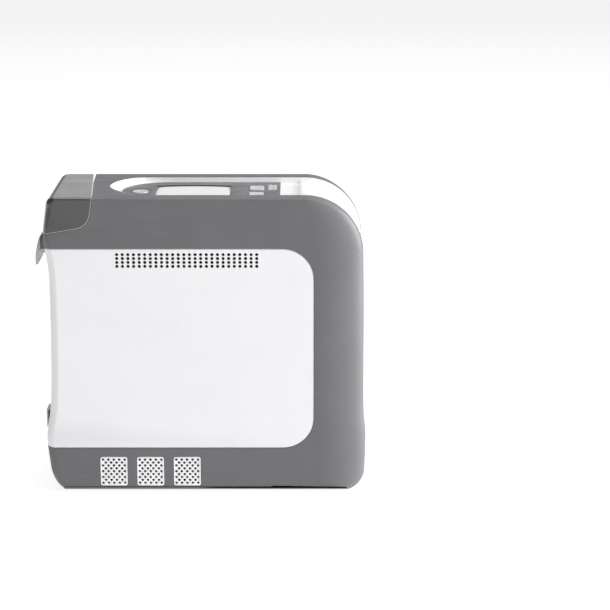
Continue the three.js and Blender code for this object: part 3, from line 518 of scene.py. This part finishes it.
def back_shell():
    cap_cuts = [cap_region(GAP, CAP_SLANT, FRONT), cap_region(GAP, SHELL_SLANT, PARTING_Y)]
    shell = casing_shell(
        "back_shell_skin", cap_cuts, back_of(PARTING_Y + GAP / 2), bulkhead(SHELL_SLANT, PARTING_Y)
    )
    radius, depth = SCREW_SINK
    for x, z in SCREWS:
        cut(shell, rod_y(x, z, radius, BACK - depth, BACK + 5))
    return cut(shell, filter_window(-1))


def filter_window(grow):
    left, right, bottom, top = (FILTER[k] for k in ("left", "right", "bottom", "top"))
    outline = rounded(left - grow, bottom - grow, right + grow, top + grow, 5 + grow, 8)
    return prism_y("filter_window", outline, BACK - 8, BACK + 5)


def white_panel(name):
    panel = cut(form(name), form("panel_inside", SKIN))
    keep(panel, panel_window(0))
    for width, depth in BORDER_STEPS:
        border = cut(panel_window(1), panel_window(-width))
        cut(panel, cut(border, form("kept_depth", depth)))
    return cut(panel, lever_pocket())


def vent_holes():
    holes = []
    pitch_x, pitch_z = VENT["pitch"]
    for row in range(VENT["rows"]):
        for column in range(VENT["columns"]):
            x = VENT["left"] + column * pitch_x
            z = VENT["top"] - row * pitch_z
            holes.append(rod_y(x, z, VENT["hole"], FRONT - 1, FRONT + 4, 12))
    return joined("vent_holes", holes)


def front_panel():
    panel = keep(white_panel("front_panel_skin"), front_of(PARTING_Y - GAP / 2))
    pocket = block("hinge_pocket", (-5, 3), (-27.6, -14.4), (52, 56))
    return cut(panel, vent_holes(), jack_hole(), pocket)


def back_panel():
    panel = keep(white_panel("back_panel_skin"), back_of(PARTING_Y + GAP / 2))
    return cut(panel, filter_window(GAP))


def grille_outline(left, grow):
    right = left + GRILLE["width"]
    bottom, top = GRILLE["bottom"], GRILLE["top"]
    return rounded(left - grow, bottom - grow, right + grow, top + grow, GRILLE["corner"] + grow, 4)


def exhaust_grille(index):
    left = GRILLE["lefts"][index]
    body = prism_y(f"grille_{index + 1}", grille_outline(left, 0), FRONT, FRONT + 5)
    cut(body, prism_y("hollow", grille_outline(left, -1), FRONT + 1.6, FRONT + 6))
    middle_x = left + GRILLE["width"] / 2
    middle_z = (GRILLE["bottom"] + GRILLE["top"]) / 2
    pitch_x, pitch_z = GRILLE_HOLES["pitch"]
    rows = GRILLE_HOLES["rows"]
    holes = []
    for row in range(rows):
        count = GRILLE_HOLES["columns"] - row % 2
        for column in range(count):
            x = middle_x + (column - (count - 1) / 2) * pitch_x
            z = middle_z + ((rows - 1) / 2 - row) * pitch_z
            holes.append(rod_y(x, z, GRILLE_HOLES["hole"], FRONT - 1, FRONT + 3, 14))
    return cut(body, joined("holes", holes))


# ---- battery head and release lever --------------------------------------------------------------


def battery_head():
    region = cap_region(0, CAP_SLANT, FRONT)
    hollow = cap_region(-CAP_WALL, CAP_SLANT, FRONT)
    cut(hollow, block("roof", (-60, 60), (-60, 60), (HEIGHT - CAP_WALL, HEIGHT + 20)))
    keep(hollow, form("cap_inside", CAP_WALL))
    cap = cut(keep(form("battery_cap"), region), hollow)
    half, plate = LIP["half_y"], LIP["plate"]
    reach, bottom, top = LIP["reach"], LIP["bottom"], LIP["top"]
    wedge = [(1.6, 190), (-0.5, top), (reach, bottom), (-0.4, bottom), (-1, 177), (-1, 184.4), (1.6, 185.2)]
    under = [(reach + plate, bottom - 1), (0.6, 184.4), (0.6, bottom - 1)]
    lip = prism_y("lip", wedge, -half, half)
    cut(lip, prism_y("under", under, plate - half, half - plate))
    # the cap's outer rim is cut away and left to the strip that carries the painted highlight
    rim = cut(cap_region(1, CAP_SLANT, FRONT), cap_region(-RIM_HIGHLIGHT_WIDTH, CAP_SLANT, FRONT))
    return cut(add(cap, lip), rim)


def cap_rim_highlight():
    """Thin strip round the smoked cap's rim, given a light finish as a painted highlight along the cut
    edge.
    """
    bead = cut(form("cap_rim_highlight"), form("highlight_inside", 0.9))
    keep(bead, cap_region(0, CAP_SLANT, FRONT))
    return cut(bead, cap_region(-RIM_HIGHLIGHT_WIDTH, CAP_SLANT, FRONT))


def release_lever():
    x, z = LEVER["x"], LEVER["z"]
    tip_x, tip_z = LEVER["tip"]
    half = LEVER["half_y"]
    profile = [(x, z - 2.3), (x, z + 1.4), (-5.6, z + 1.6), (-5.5, z + 9)]
    profile += quadratic((-6.3, z + 9.2), (-8.4, z + 3), (tip_x, z - 4), 12)
    profile += [(tip_x, tip_z), (tip_x + 1.4, tip_z)]
    profile += quadratic((tip_x + 1.42, tip_z + 0.4), (tip_x + 1.7, z - 3.2), (-3, z - 1.9), 12)
    lever = prism_y("lever", list(reversed(profile)), -half, half)
    add(lever, rod_y(x, z, 2.3, -half, half))
    cut(lever, rod_y(x, z, 1.35, -half - 1, half + 1))
    cut(lever, block("spring_room", (x - 2.6, x + 2.6), (half - 6, half + 1), (z - 3, z + 3)))
    return lever


# ---- recess liner --------------------------------------------------------------------------------


def spine_line():
    """Side-view points along the top and down the right end, each with its distance from the left."""
    start = max(range(len(OUTLINE)), key=lambda i: (OUTLINE[i][1], -OUTLINE[i][0]))
    points = [OUTLINE[i] for i in range(start, 0, -1)]
    distance = points[0][0]
    line = [(distance, *points[0])]
    for before, here in zip(points, points[1:]):
        distance += hypot(here[0] - before[0], here[1] - before[1])
        line.append((distance, *here))
    return line


SPINE = spine_line()


def on_skin(s, y, inset):
    """Drawing point at distance s along the spine and at depth y, at the inset below the skin."""
    for before, after in zip(SPINE, SPINE[1:]):
        if s <= after[0]:
            break
    share = (s - before[0]) / (after[0] - before[0])
    x, z, nx, nz = (a + (b - a) * share for a, b in zip(before[1:], after[1:]))
    width, depth = roll_at(z, nx)
    drop = hypot(rounding(depth, inset) * nx, rounding(EDGE[1], inset) * nz)
    level = 1 - (BACK - inset - abs(y)) / drop
    reach = 0 if level <= 0 else 1 - sin(acos(min(level, 1)))
    return (
        x - nx * (inset + rounding(width, inset) * reach),
        y,
        z - nz * (inset + rounding(EDGE[0], inset) * reach),
    )


def distance_at_height(z):
    """Distance along the spine of the point on the right end at height z."""
    for before, after in zip(SPINE, SPINE[1:]):
        if after[1] > 200 and after[2] <= z:
            return before[0] + (after[0] - before[0]) * (before[2] - z) / (before[2] - after[2])
    return SPINE[-1][0]


def smooth_step(value, low, high):
    t = min(max((value - low) / (high - low), 0), 1)
    return t * t * (3 - 2 * t)


def stations():
    """Distances along the spine from the recess's full width to its rounded lower end."""
    full = RECESS["full"]
    last = distance_at_height(RECESS["end"] + RECESS_RADIUS)
    even = [full + (last - full) * i / 60 for i in range(61)]
    step = [PAD_START + PAD_STEP * k / 4 for k in range(5)]
    return sorted([s for s in even if not PAD_START - 1.5 < s < PAD_START + PAD_STEP + 1.5] + step)


def recess_edges():
    """The recess's far and near edges as matching lists of (distance along the spine, y)."""
    tip, tip_y, full = RECESS["tip"], RECESS["tip_y"], RECESS["full"]
    near_y, far_y = RECESS["near"], RECESS["far"]
    steps = 22
    far = list(reversed(arc(full, tip_y, (full - tip, far_y - tip_y), 90, 180, steps)))[:-1]
    near = quadratic((tip, tip_y), (tip + 1.5, -14), (full - 5, near_y), steps)[:-1]
    along = stations()
    for s in along[:-1]:
        far.append((s, far_y))
        near.append((s - 5 * (1 - smooth_step(s, full, full + 40)), near_y))
    for i in range(steps + 1):
        turn = pi / 2 * i / steps
        s = distance_at_height(RECESS["end"] + RECESS_RADIUS * (1 - sin(turn)))
        far.append((s, far_y - RECESS_RADIUS * (1 - cos(turn))))
        near.append((s, near_y + RECESS_RADIUS * (1 - cos(turn))))
    return far, near


def floor_depth(s):
    """Depth of the tray's floor below the casing's skin; the pad round the corner stands higher."""
    return FLOOR_DROP - PAD_RISE * smooth_step(s, PAD_START, PAD_START + PAD_STEP)


def spine_tray():
    """White liner: rim, coved wall and floor, run along the top and down the right end.

    It is a closed solid, with the barb's pocket in its right end and holes under the buttons.
    """
    rim_depth, sheet = 0.3, 1.2
    far, near = recess_edges()
    loop = far + list(reversed(near[1:]))
    count = len(loop)

    def inward(i, distance):
        along = Vector(loop[(i + 1) % count]) - Vector(loop[i - 1])
        along.normalize()
        return loop[i][0] + along.y * distance, loop[i][1] - along.x * distance

    def grid(bm, boundary, depth_at):
        """Rows of faces across the tray, between its far and near edges, at a depth below the skin."""
        columns = 14
        edge = [boundary[1][i] for i in range(count)]
        verts = boundary[0]
        rows = []
        for i in range(1, len(far) - 1):
            far_edge, near_edge = Vector(edge[i]), Vector(edge[count - i])
            row = [verts[i]]
            for k in range(1, columns):
                s, y = far_edge.lerp(near_edge, k / columns)
                row.append(bm.verts.new(placed(*on_skin(s, y, depth_at(s)))))
            rows.append(row + [verts[count - i]])
        for upper, lower in zip(rows, rows[1:]):
            for k in range(columns):
                bm.faces.new((upper[k], lower[k], lower[k + 1], upper[k + 1]))
        bm.faces.new([verts[0]] + rows[0])
        bm.faces.new(rows[-1] + [verts[len(far)], verts[len(far) - 1]])

    slopes = [2.4 + 5.4 * smooth_step(84 - s, 0, 38) for s, _ in loop]
    profile = [(0, 0, None), (0, 0, rim_depth), (0.7, 0, rim_depth)]
    profile += [(0.7, i / 12, "cove") for i in range(1, 13)]
    bm = bmesh.new()
    rings = []
    for flat, share, kind in profile:
        ring, places = [], []
        for i in range(count):
            s, y = inward(i, flat + share * slopes[i])
            floor = floor_depth(s)
            if kind == "cove":
                depth = rim_depth + (floor - rim_depth) * (1 - (1 - share) ** 2.2)
            else:
                depth = floor + sheet if kind is None else kind
            ring.append(bm.verts.new(placed(*on_skin(s, y, depth))))
            places.append((s, y))
        rings.append((ring, places))
    for (outer, _), (inner, _) in zip(rings, rings[1:]):
        for i in range(count):
            j = (i + 1) % count
            bm.faces.new((outer[i], outer[j], inner[j], inner[i]))
    grid(bm, rings[-1], floor_depth)
    grid(bm, rings[0], lambda s: floor_depth(s) + sheet)
    bmesh.ops.triangulate(bm, faces=[f for f in bm.faces if len(f.verts) > 4])
    tray = piece_from("recess_liner", bm)
    z, half, outer = BARB["z"], POCKET_HALF, POCKET_HALF + CUP_WALL
    pocket = prism_x("pocket", rounded(-half, z - half, half, z + half, 3), BARB["base"], 230)
    cup = prism_x(
        "cup", rounded(-outer, z - outer, outer, z + outer, 3 + CUP_WALL), BARB["base"] - CUP_WALL, 214.5
    )
    add(tray, cup)
    cut_button_holes(tray, FLOOR_Z - 4, FLOOR_Z + 4)
    return cut(tray, pocket)


# ---- control panel -------------------------------------------------------------------------------


def lcd_outline(grow):
    left, right = LCD["left"] - grow, LCD["right"] + grow
    near, far = LCD["near"] - grow, LCD["far"] + grow
    outline = arc(left + 2, near + 2, 2, 180, 270, 5) + arc(right - 2, near + 2, 2, -90, 0, 5)
    for i in range(25):
        share = i / 24
        outline.append((right + (left - right) * share, far + LCD["bulge"] * 4 * share * (1 - share)))
    return outline


def key_outline(near, grow):
    left, right, far = KEY["left"] - grow, KEY["right"] + grow, near + KEY["length"] + grow
    return rounded(left, near - grow, right, far, 2.6 + grow, 6)


def lamp_outline(grow):
    left, right = LAMP["left"] - grow, LAMP["right"] + grow
    return rounded(left, LAMP["near"] - grow, right, LAMP["far"] + grow, 1.2 + grow, 5)


def cut_button_holes(piece, low, high):
    cut(piece, prism_z("power_hole", circle(POWER["x"], POWER["y"], POWER["radius"] + GAP, 40), low, high))
    for near_edge in KEY["nears"]:
        cut(piece, prism_z("key_hole", key_outline(near_edge, GAP), low, high))


def control_panel():
    near, far, right = CONTROL["near"], CONTROL["far"], CONTROL["right"]
    middle, radii = (near + far) / 2, (32, (far - near) / 2)
    centre_x = CONTROL["left"] + radii[0]
    outline = arc(centre_x, middle, radii, 90, 270, 60)
    outline += arc(right - 1, near + 1, 1, -90, 0, 4) + arc(right - 1, far - 1, 1, 0, 90, 4)
    plate = prism_z("control_face", outline, CONTROL_TOP - 1, CONTROL_TOP)
    low, high = CONTROL_TOP - 2, CONTROL_TOP + 1
    cut(plate, prism_z("window", lcd_outline(0.35), low, high))
    cut_button_holes(plate, low, high)
    return cut(plate, prism_z("lamp_hole", lamp_outline(0.15), low, high))


def domed_plate(name, outline, z0, z1, crown, rings=6):
    """A slab whose top runs from its edge to a crown above it, or a hollow below it."""
    middle = [sum(p[k] for p in outline) / len(outline) for k in (0, 1)]
    layers = [[(x, y, z0) for x, y in outline]]
    shrink = [1, 0.985, 0.94] + [0.94 * (1 - i / rings) for i in range(1, rings)]
    for share in shrink:
        z = z1
        if share == 1:
            z -= 0.18
        elif share > 0.97:
            z -= 0.05
        elif share < 0.94:
            z += crown * (1 - (share / 0.94) ** 2)
        layers.append([
            (middle[0] + (x - middle[0]) * share, middle[1] + (y - middle[1]) * share, z)
            for x, y in outline
        ])
    return loft(name, layers)


def lcd_shadow_strip():
    """Dark strip painted as shadow in the gap along the far, bowed edge of the display."""
    far_edge = lcd_outline(0)[12:]
    strip = [(x, y + 0.8) for x, y in far_edge] + [(x, y + 0.1) for x, y in reversed(far_edge)]
    return prism_z("display_painted_shadow", strip, CONTROL_TOP - 1, CONTROL_TOP + 0.6)


def lcd_window():
    return domed_plate("display_window", lcd_outline(0), CONTROL_TOP - 1, CONTROL_TOP + 0.1, 0)


def power_button():
    outline = circle(POWER["x"], POWER["y"], POWER["radius"], 48)
    button = domed_plate("power_key", outline, FLOOR_Z - 1, CONTROL_TOP + 0.5, -0.35)
    ring = [circle(POWER["x"], POWER["y"], r, 32) for r in (1.9, 1.4)]
    mark = prism_z("mark", ring[0], CONTROL_TOP, CONTROL_TOP + 1)
    cut(mark, prism_z("inside", ring[1], CONTROL_TOP - 1, CONTROL_TOP + 2))
    x, y = POWER["x"], POWER["y"]
    cut(mark, block("gap", (x - 0.7, x + 0.7), (y, y + 3), POWER_MARK_Z))
    stroke = block("stroke", (x - 0.25, x + 0.25), (y + 0.2, y + 2.3), POWER_MARK_Z)
    return cut(button, keep(mark, dish_zone()), keep(stroke, dish_zone()))


def dish_zone():
    """Thin layer round the top of the power key, which limits how deep its mark is cut."""
    outline = circle(POWER["x"], POWER["y"], POWER["radius"], 24)
    return prism_z("zone", outline, CONTROL_TOP + 0.05, CONTROL_TOP + 1)


def setting_key(name, near):
    key = domed_plate(name, key_outline(near, 0), FLOOR_Z - 1, CONTROL_TOP + 0.4, -0.3)
    x, y = (KEY["left"] + KEY["right"]) / 2, near + KEY["length"] / 2
    bars = [block("bar", (x - 1.7, x + 1.7), (y - 0.3, y + 0.3), KEY_MARK_Z)]
    if near == max(KEY["nears"]):
        bars.append(block("post", (x - 0.3, x + 0.3), (y - 1.7, y + 1.7), KEY_MARK_Z))
    return cut(key, *bars)


def increase_button():
    return setting_key("increase_key", KEY["nears"][0])


def decrease_button():
    return setting_key("decrease_key", KEY["nears"][1])


def indicator_lens():
    lens = domed_plate("indicator_window", lamp_outline(0), CONTROL_TOP - 1, CONTROL_TOP + 0.1, 0)
    middle_x = (LAMP["left"] + LAMP["right"]) / 2
    dots = []
    for k in range(3):
        y = LAMP["near"] + (LAMP["far"] - LAMP["near"]) * (k + 0.5) / 3
        dots.append(prism_z("dot", circle(middle_x, y, 1.1, 20), CONTROL_TOP, CONTROL_TOP + 1))
    return cut(lens, joined("dots", dots))


# ---- small parts ---------------------------------------------------------------------------------


def lathe_x(name, profile, y, z, sides=40):
    """Solid of revolution about a line along x; profile is (x, radius) from one end to the other."""
    rings = []
    for x, radius in profile:
        rings.append([(x, y + radius * cos(2 * pi * i / sides), z + radius * sin(2 * pi * i / sides))
                      for i in range(sides)])
    return loft(name, rings)


def jack_cover():
    low, high = box_of("jack_cover")
    outline = rounded(low.y, low.z, high.y, high.z, 3, 8)
    middle_y, middle_z = (low.y + high.y) / 2, (low.z + high.z) / 2
    face, seat = low.x, low.x + 1.2
    layers = []
    for share, x in ((1, seat), (1, face + 0.55), (0.985, face + 0.25), (0.95, face + 0.08), (0.88, face)):
        layers.append([
            (x, middle_y + (y - middle_y) * share, middle_z + (z - middle_z) * share) for y, z in outline
        ])
    flap = loft("socket_cover", layers)
    x, z, across = COVER_HINGE["x"], COVER_HINGE["z"], COVER_HINGE["y"]
    neck = block("neck", (seat - 0.5, x), across, (z - 0.5, z + 0.5))
    bead = prism_y("bead", circle(x, z, COVER_HINGE["radius"], 16), *across)
    pull = rounded(middle_y - 3, low.z + 1.6, middle_y + 3, low.z + 2.5, 0.4, 4)
    return cut(add(flap, neck, bead), prism_x("pull", pull, face - 1, face + 0.45))


def filter_cover():
    low, high = box_of("filter_cover")
    plate = prism_y("intake_cover", rounded(low.x, low.z, high.x, high.z, 5, 8), low.y, high.y)
    slots = []
    slot, pitch = 2, 5
    for k in range(10):
        z = low.z + 7 + pitch * k
        if z + slot < high.z - 4:
            opening = rounded(low.x + 7, z, high.x - 7, z + slot, 0.9, 5)
            slots.append(prism_y("slot", opening, low.y - 1, high.y + 1))
    cut(plate, joined("slots", slots))
    middle = (low.x + high.x) / 2
    notch = rounded(middle - 7, high.z - 3.2, middle + 7, high.z + 2, 1.5, 6)
    return cut(plate, prism_y("notch", notch, high.y - 0.9, high.y + 1))


def foot(index):
    low, high = box_of(f"foot_{index}")
    x, y = (low.x + high.x) / 2, (low.y + high.y) / 2
    radius = (high.x - low.x) / 2
    layers = []
    for share, z in ((0.9, low.z), (0.96, low.z + 0.08), (1, low.z + 0.35), (1, high.z)):
        layers.append([(px, py, z) for px, py in circle(x, y, radius * share, 40)])
    pad = loft(f"rubber_foot_{index}", layers)
    grooves = [circle(x, y, radius * share, 32) for share in (0.62, 0.5)]
    groove = prism_z("groove", grooves[0], low.z - 1, low.z + 0.3)
    cut(groove, prism_z("core", grooves[1], low.z - 2, low.z + 1))
    return cut(pad, groove)


def shell_screw(index):
    low, high = box_of(f"shell_screw_{index}")
    x, z = (low.x + high.x) / 2, (low.z + high.z) / 2
    radius, top = (high.x - low.x) / 2, high.y
    profile = [
        (0.45, low.y), (0.45, top - 1.9), (1, top - 1.7), (1, top - 0.5), (0.93, top - 0.2), (0.8, top),
    ]
    layers = []
    for share, y in profile:
        layers.append([(px, y, pz) for px, pz in circle(x, z, radius * share, 36)])
    screw = loft(f"case_screw_{index}", layers)
    return cut(screw, prism_y("socket", circle(x, z, radius * 0.42, 6), top - 1.1, top + 1))


def oxygen_outlet():
    tip, base, z = BARB["tip"], BARB["base"], BARB["z"]
    profile = [(base + 0.3, 5), (base + 1.5, 5), (base + 1.8, 4.7), (base + 1.85, 2.9), (base + 2.3, 2.3)]
    profile += [(tip - 6.5, 2.3), (tip - 6.4, 3), (tip - 6.1, 3), (tip - 4.6, 2.3)]
    profile += [(tip - 3.1, 2.3), (tip - 3, 3), (tip - 2.7, 3), (tip - 0.3, 1.9), (tip, 1.7)]
    barb = lathe_x("outlet_barb", profile, 0, z)
    return cut(barb, prism_x("bore", circle(0, z, 1.1, 20), base + 3, tip + 1))


def box_of(node):
    """A CAD node's corners in the drawing frame, in millimetres."""
    low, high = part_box(node)
    return low / MM - ORIGIN, high / MM - ORIGIN


# ---- finishes ------------------------------------------------------------------------------------


def linear(tone):
    made = []
    for value in tone:
        share = value / 255
        made.append(share / 12.92 if share <= 0.04045 else ((share + 0.055) / 1.055) ** 2.4)
    return made


def finish(
    name, tone, roughness, grain=1400, relief=0.12, mottle=0.04, metallic=0.0, coat=0.0, clear=0.0
):
    """Moulded or metal surface: fine grain in the relief, drifting tone and gloss, a few rubbed streaks."""
    material = bpy.data.materials.new(f"finish_{name}")
    material.use_nodes = True
    tree = material.node_tree
    shader = tree.nodes["Principled BSDF"]
    coordinates = tree.nodes.new("ShaderNodeTexCoord")

    def node(kind, **sockets):
        made = tree.nodes.new(kind)
        for key, value in sockets.items():
            made.inputs[key.replace("_", " ")].default_value = value
        return made

    def noise(scale, detail, stretch=(1, 1, 1)):
        mapping = node("ShaderNodeMapping", Scale=stretch)
        made = node("ShaderNodeTexNoise", Scale=scale, Detail=detail)
        tree.links.new(coordinates.outputs["Object"], mapping.inputs["Vector"])
        tree.links.new(mapping.outputs["Vector"], made.inputs["Vector"])
        return made.outputs["Fac"]

    def spread(source, low, high, start=0.3, end=0.7):
        made = node("ShaderNodeMapRange")
        for key, value in (("From Min", start), ("From Max", end), ("To Min", low), ("To Max", high)):
            made.inputs[key].default_value = value
        tree.links.new(source, made.inputs["Value"])
        return made.outputs["Result"]

    base = linear(tone)
    drift = tree.nodes.new("ShaderNodeMix")
    drift.data_type = "RGBA"
    drift.inputs[MIX_A].default_value = (*[c * (1 - mottle) for c in base], 1)
    drift.inputs[MIX_B].default_value = (*[min(c * (1 + mottle), 1) for c in base], 1)
    tree.links.new(spread(noise(38, 5), 0, 1), drift.inputs[0])
    rubbed = tree.nodes.new("ShaderNodeMix")
    rubbed.data_type = "RGBA"
    rubbed.inputs[MIX_B].default_value = (*[c * 0.75 + 0.25 * 0.6 for c in base], 1)
    streaks = spread(noise(60, 6, (1, 1, 7)), 0, 0.22, 0.66, 0.78)
    tree.links.new(streaks, rubbed.inputs[0])
    tree.links.new(drift.outputs[MIX_RESULT], rubbed.inputs[MIX_A])
    tree.links.new(rubbed.outputs[MIX_RESULT], shader.inputs["Base Color"])
    gloss = spread(noise(85, 4), max(roughness - 0.07, 0.03), min(roughness + 0.07, 1))
    tree.links.new(gloss, shader.inputs["Roughness"])
    bump = node("ShaderNodeBump", Strength=relief, Distance=0.0002)
    tree.links.new(noise(grain, 3), bump.inputs["Height"])
    tree.links.new(bump.outputs["Normal"], shader.inputs["Normal"])
    shader.inputs["Metallic"].default_value = metallic
    shader.inputs["Coat Weight"].default_value = coat
    shader.inputs["Coat Roughness"].default_value = 0.12
    shader.inputs["Transmission Weight"].default_value = clear
    return material


FINISHES = {
    "shell_grey": finish("shell_grey", (108, 108, 111), 0.52, relief=0.2),
    "panel_white": finish("panel_white", (248, 248, 250), 0.4, relief=0.08, mottle=0.015),
    "tray_white": finish("tray_white", (244, 244, 244), 0.42, relief=0.08, mottle=0.015),
    "control_grey": finish("control_grey", (108, 109, 113), 0.45, grain=1800, relief=0.1),
    "display": finish("display", (248, 246, 242), 0.2, grain=2500, relief=0.02, mottle=0.02, coat=0.6),
    "key_grey": finish("key_grey", (202, 204, 208), 0.4, relief=0.12),
    "lens": finish("lens", (186, 186, 186), 0.25, relief=0.04, coat=0.5),
    "smoke": finish("smoke", (67, 65, 64), 0.22, grain=900, relief=0.03, mottle=0.05, coat=0.7),
    "lever_grey": finish("lever_grey", (196, 192, 187), 0.45),
    "rubber_black": finish("rubber_black", (30, 30, 31), 0.8, grain=2200, relief=0.4),
    "cover_grey": finish("cover_grey", (208, 206, 203), 0.6, relief=0.2),
    "black_plastic": finish("black_plastic", (24, 24, 25), 0.55, relief=0.2),
    "board_green": finish("board_green", (30, 74, 48), 0.4, grain=600, relief=0.1),
    "cell_wrap": finish("cell_wrap", (52, 96, 140), 0.35, relief=0.05),
    "steel": finish("steel", (168, 168, 170), 0.32, grain=2600, relief=0.06, metallic=1.0),
    "copper": finish("copper", (186, 112, 72), 0.35, grain=2600, relief=0.1, metallic=1.0),
    "aluminium": finish("aluminium", (190, 191, 194), 0.38, grain=1800, relief=0.12, metallic=1.0),
    "foam": finish("foam", (48, 48, 50), 0.95, grain=700, relief=1.0, mottle=0.2),
    "hose_clear": finish("hose_clear", (214, 218, 220), 0.2, relief=0.04, clear=0.6),
}


# ---- assembly ------------------------------------------------------------------------------------


def paint_duct_shade(piece):
    """Black painted shade on the floor and sides of the opening behind the vent holes."""
    piece.data.materials.append(FINISHES["black_plastic"])
    left, bottom, right, top = DUCT
    for polygon in piece.data.polygons:
        x, y, z = polygon.center / MM - ORIGIN
        inside = left - 0.1 < x < right + 0.1 and bottom - 0.1 < z < top + 0.1
        if inside and FRONT + SKIN < y < FRONT + DUCT_DEPTH + 0.1:
            polygon.material_index = 1


def settle(piece, body, nodes, slot, crease=35, follow_form=False, round_over=0.0):
    """Gives a finished piece its shading, its material and its body, and hides the CAD nodes it stands for.
    """
    if round_over:
        soften(piece, round_over)
    shade(piece, crease, follow_form)
    piece.data.materials.clear()
    piece.data.materials.append(FINISHES[slot])
    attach(piece, body)
    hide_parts(*nodes)


SLOTS = {name: node.material_slots[0].material.name for name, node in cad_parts.items()}
for cad_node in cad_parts.values():
    for material_slot in cad_node.material_slots:
        material_slot.material = FINISHES[material_slot.material.name]

casing_front = front_shell()
settle(casing_front, "housing", ["front_shell"], "shell_grey", follow_form=True)
# the duct behind the vent holes is painted black as shade
paint_duct_shade(casing_front)
settle(back_shell(), "housing", ["back_shell"], "shell_grey", follow_form=True)
settle(front_panel(), "housing", ["front_panel"], "panel_white", follow_form=True)
settle(back_panel(), "housing", ["back_panel"], "panel_white", follow_form=True)
settle(battery_head(), "battery", ["battery_head"], "smoke", follow_form=True)
# rim strip of the cap, finished light: a painted highlight along the seam
settle(cap_rim_highlight(), "battery", ["battery_head"], "smoke", follow_form=True)
bpy.data.objects["cap_rim_highlight"].data.materials[0] = finish("smoke_painted_highlight", (190, 188, 184), 0.25, relief=0.02)
settle(release_lever(), "release_lever", ["release_lever"], "lever_grey", round_over=0.25)
settle(spine_tray(), "housing", ["spine_tray"], "tray_white", crease=50)
settle(control_panel(), "housing", ["control_panel"], "control_grey", round_over=0.2)
settle(lcd_window(), "housing", ["lcd_window"], "display")
# black strip in the display's far gap is painted shadow
settle(lcd_shadow_strip(), "housing", ["lcd_window"], "rubber_black")
settle(power_button(), "power_button", ["power_button"], "key_grey")
settle(increase_button(), "increase_button", ["increase_button"], "key_grey")
settle(decrease_button(), "decrease_button", ["decrease_button"], "key_grey")
settle(indicator_lens(), "housing", ["indicator_lens"], "lens")
settle(jack_cover(), "jack_cover", ["jack_cover"], "cover_grey")
settle(filter_cover(), "filter_cover", ["filter_cover"], "panel_white", round_over=0.3)
settle(oxygen_outlet(), "housing", ["oxygen_outlet"], SLOTS["oxygen_outlet"])
for number in range(3):
    settle(
        exhaust_grille(number), "housing", [f"exhaust_grille_{number + 1}"],
        SLOTS[f"exhaust_grille_{number + 1}"], round_over=0.12,
    )
for number in range(1, 5):
    settle(foot(number), "housing", [f"foot_{number}"], "rubber_black")
for number in (1, 2):
    settle(shell_screw(number), "housing", [f"shell_screw_{number}"], "steel")


# ---- floor, light and camera ---------------------------------------------------------------------


def studio_floor():
    bm = bmesh.new()
    half = 9.0
    corners = ((-half, -half), (half, -half), (half, half), (-half, half))
    bm.faces.new([bm.verts.new((x, y, 0)) for x, y in corners])
    ground = piece_from("studio_floor", bm)
    paper = finish("floor", (150, 150, 150), 0.8, grain=400, relief=0.02, mottle=0.01)
    shader = paper.node_tree.nodes["Principled BSDF"]
    shader.inputs["Emission Color"].default_value = (1, 1, 1, 1)
    shader.inputs["Emission Strength"].default_value = 0.85
    ground.data.materials.append(paper)


def area_light(name, place, target, size, power):
    light = bpy.data.lights.new(name, "AREA")
    light.shape = "RECTANGLE"
    light.size, light.size_y = size
    light.energy = power
    lamp = bpy.data.objects.new(name, light)
    lamp.location = place
    lamp.rotation_euler = (Vector(target) - Vector(place)).to_track_quat("-Z", "Y").to_euler()
    bpy.context.scene.collection.objects.link(lamp)


studio_floor()
area_light("softbox_top", (0.1, 0.1, 1.5), (0, 0, 0.1), (1.4, 1.0), 13)
area_light("softbox_front", (-0.1, -1.8, 0.6), (0, 0, 0.1), (1.2, 0.9), 4)
area_light("softbox_right", (1.65, -0.2, 0.5), (0.05, 0, 0.1), (0.5, 1.0), 50)
area_light("softbox_back", (0, 2.4, 1.1), (0, 0, 0.15), (3.0, 1.2), 7)

world = bpy.data.worlds.new("studio")
world.use_nodes = True
background = world.node_tree.nodes["Background"]
background.inputs["Color"].default_value = (1, 1, 1, 1)
background.inputs["Strength"].default_value = 0.1
bpy.context.scene.world = world
bpy.context.scene.view_settings.view_transform = "Standard"

lens = bpy.data.cameras.new("camera")
lens.lens = FOCAL_LENGTH
lens.sensor_width = SENSOR_WIDTH
camera = bpy.data.objects.new("camera", lens)
camera.location = CAMERA_PLACE
camera.rotation_euler = (radians(90 - CAMERA_PITCH), 0, 0)
bpy.context.scene.collection.objects.link(camera)
bpy.context.scene.camera = camera
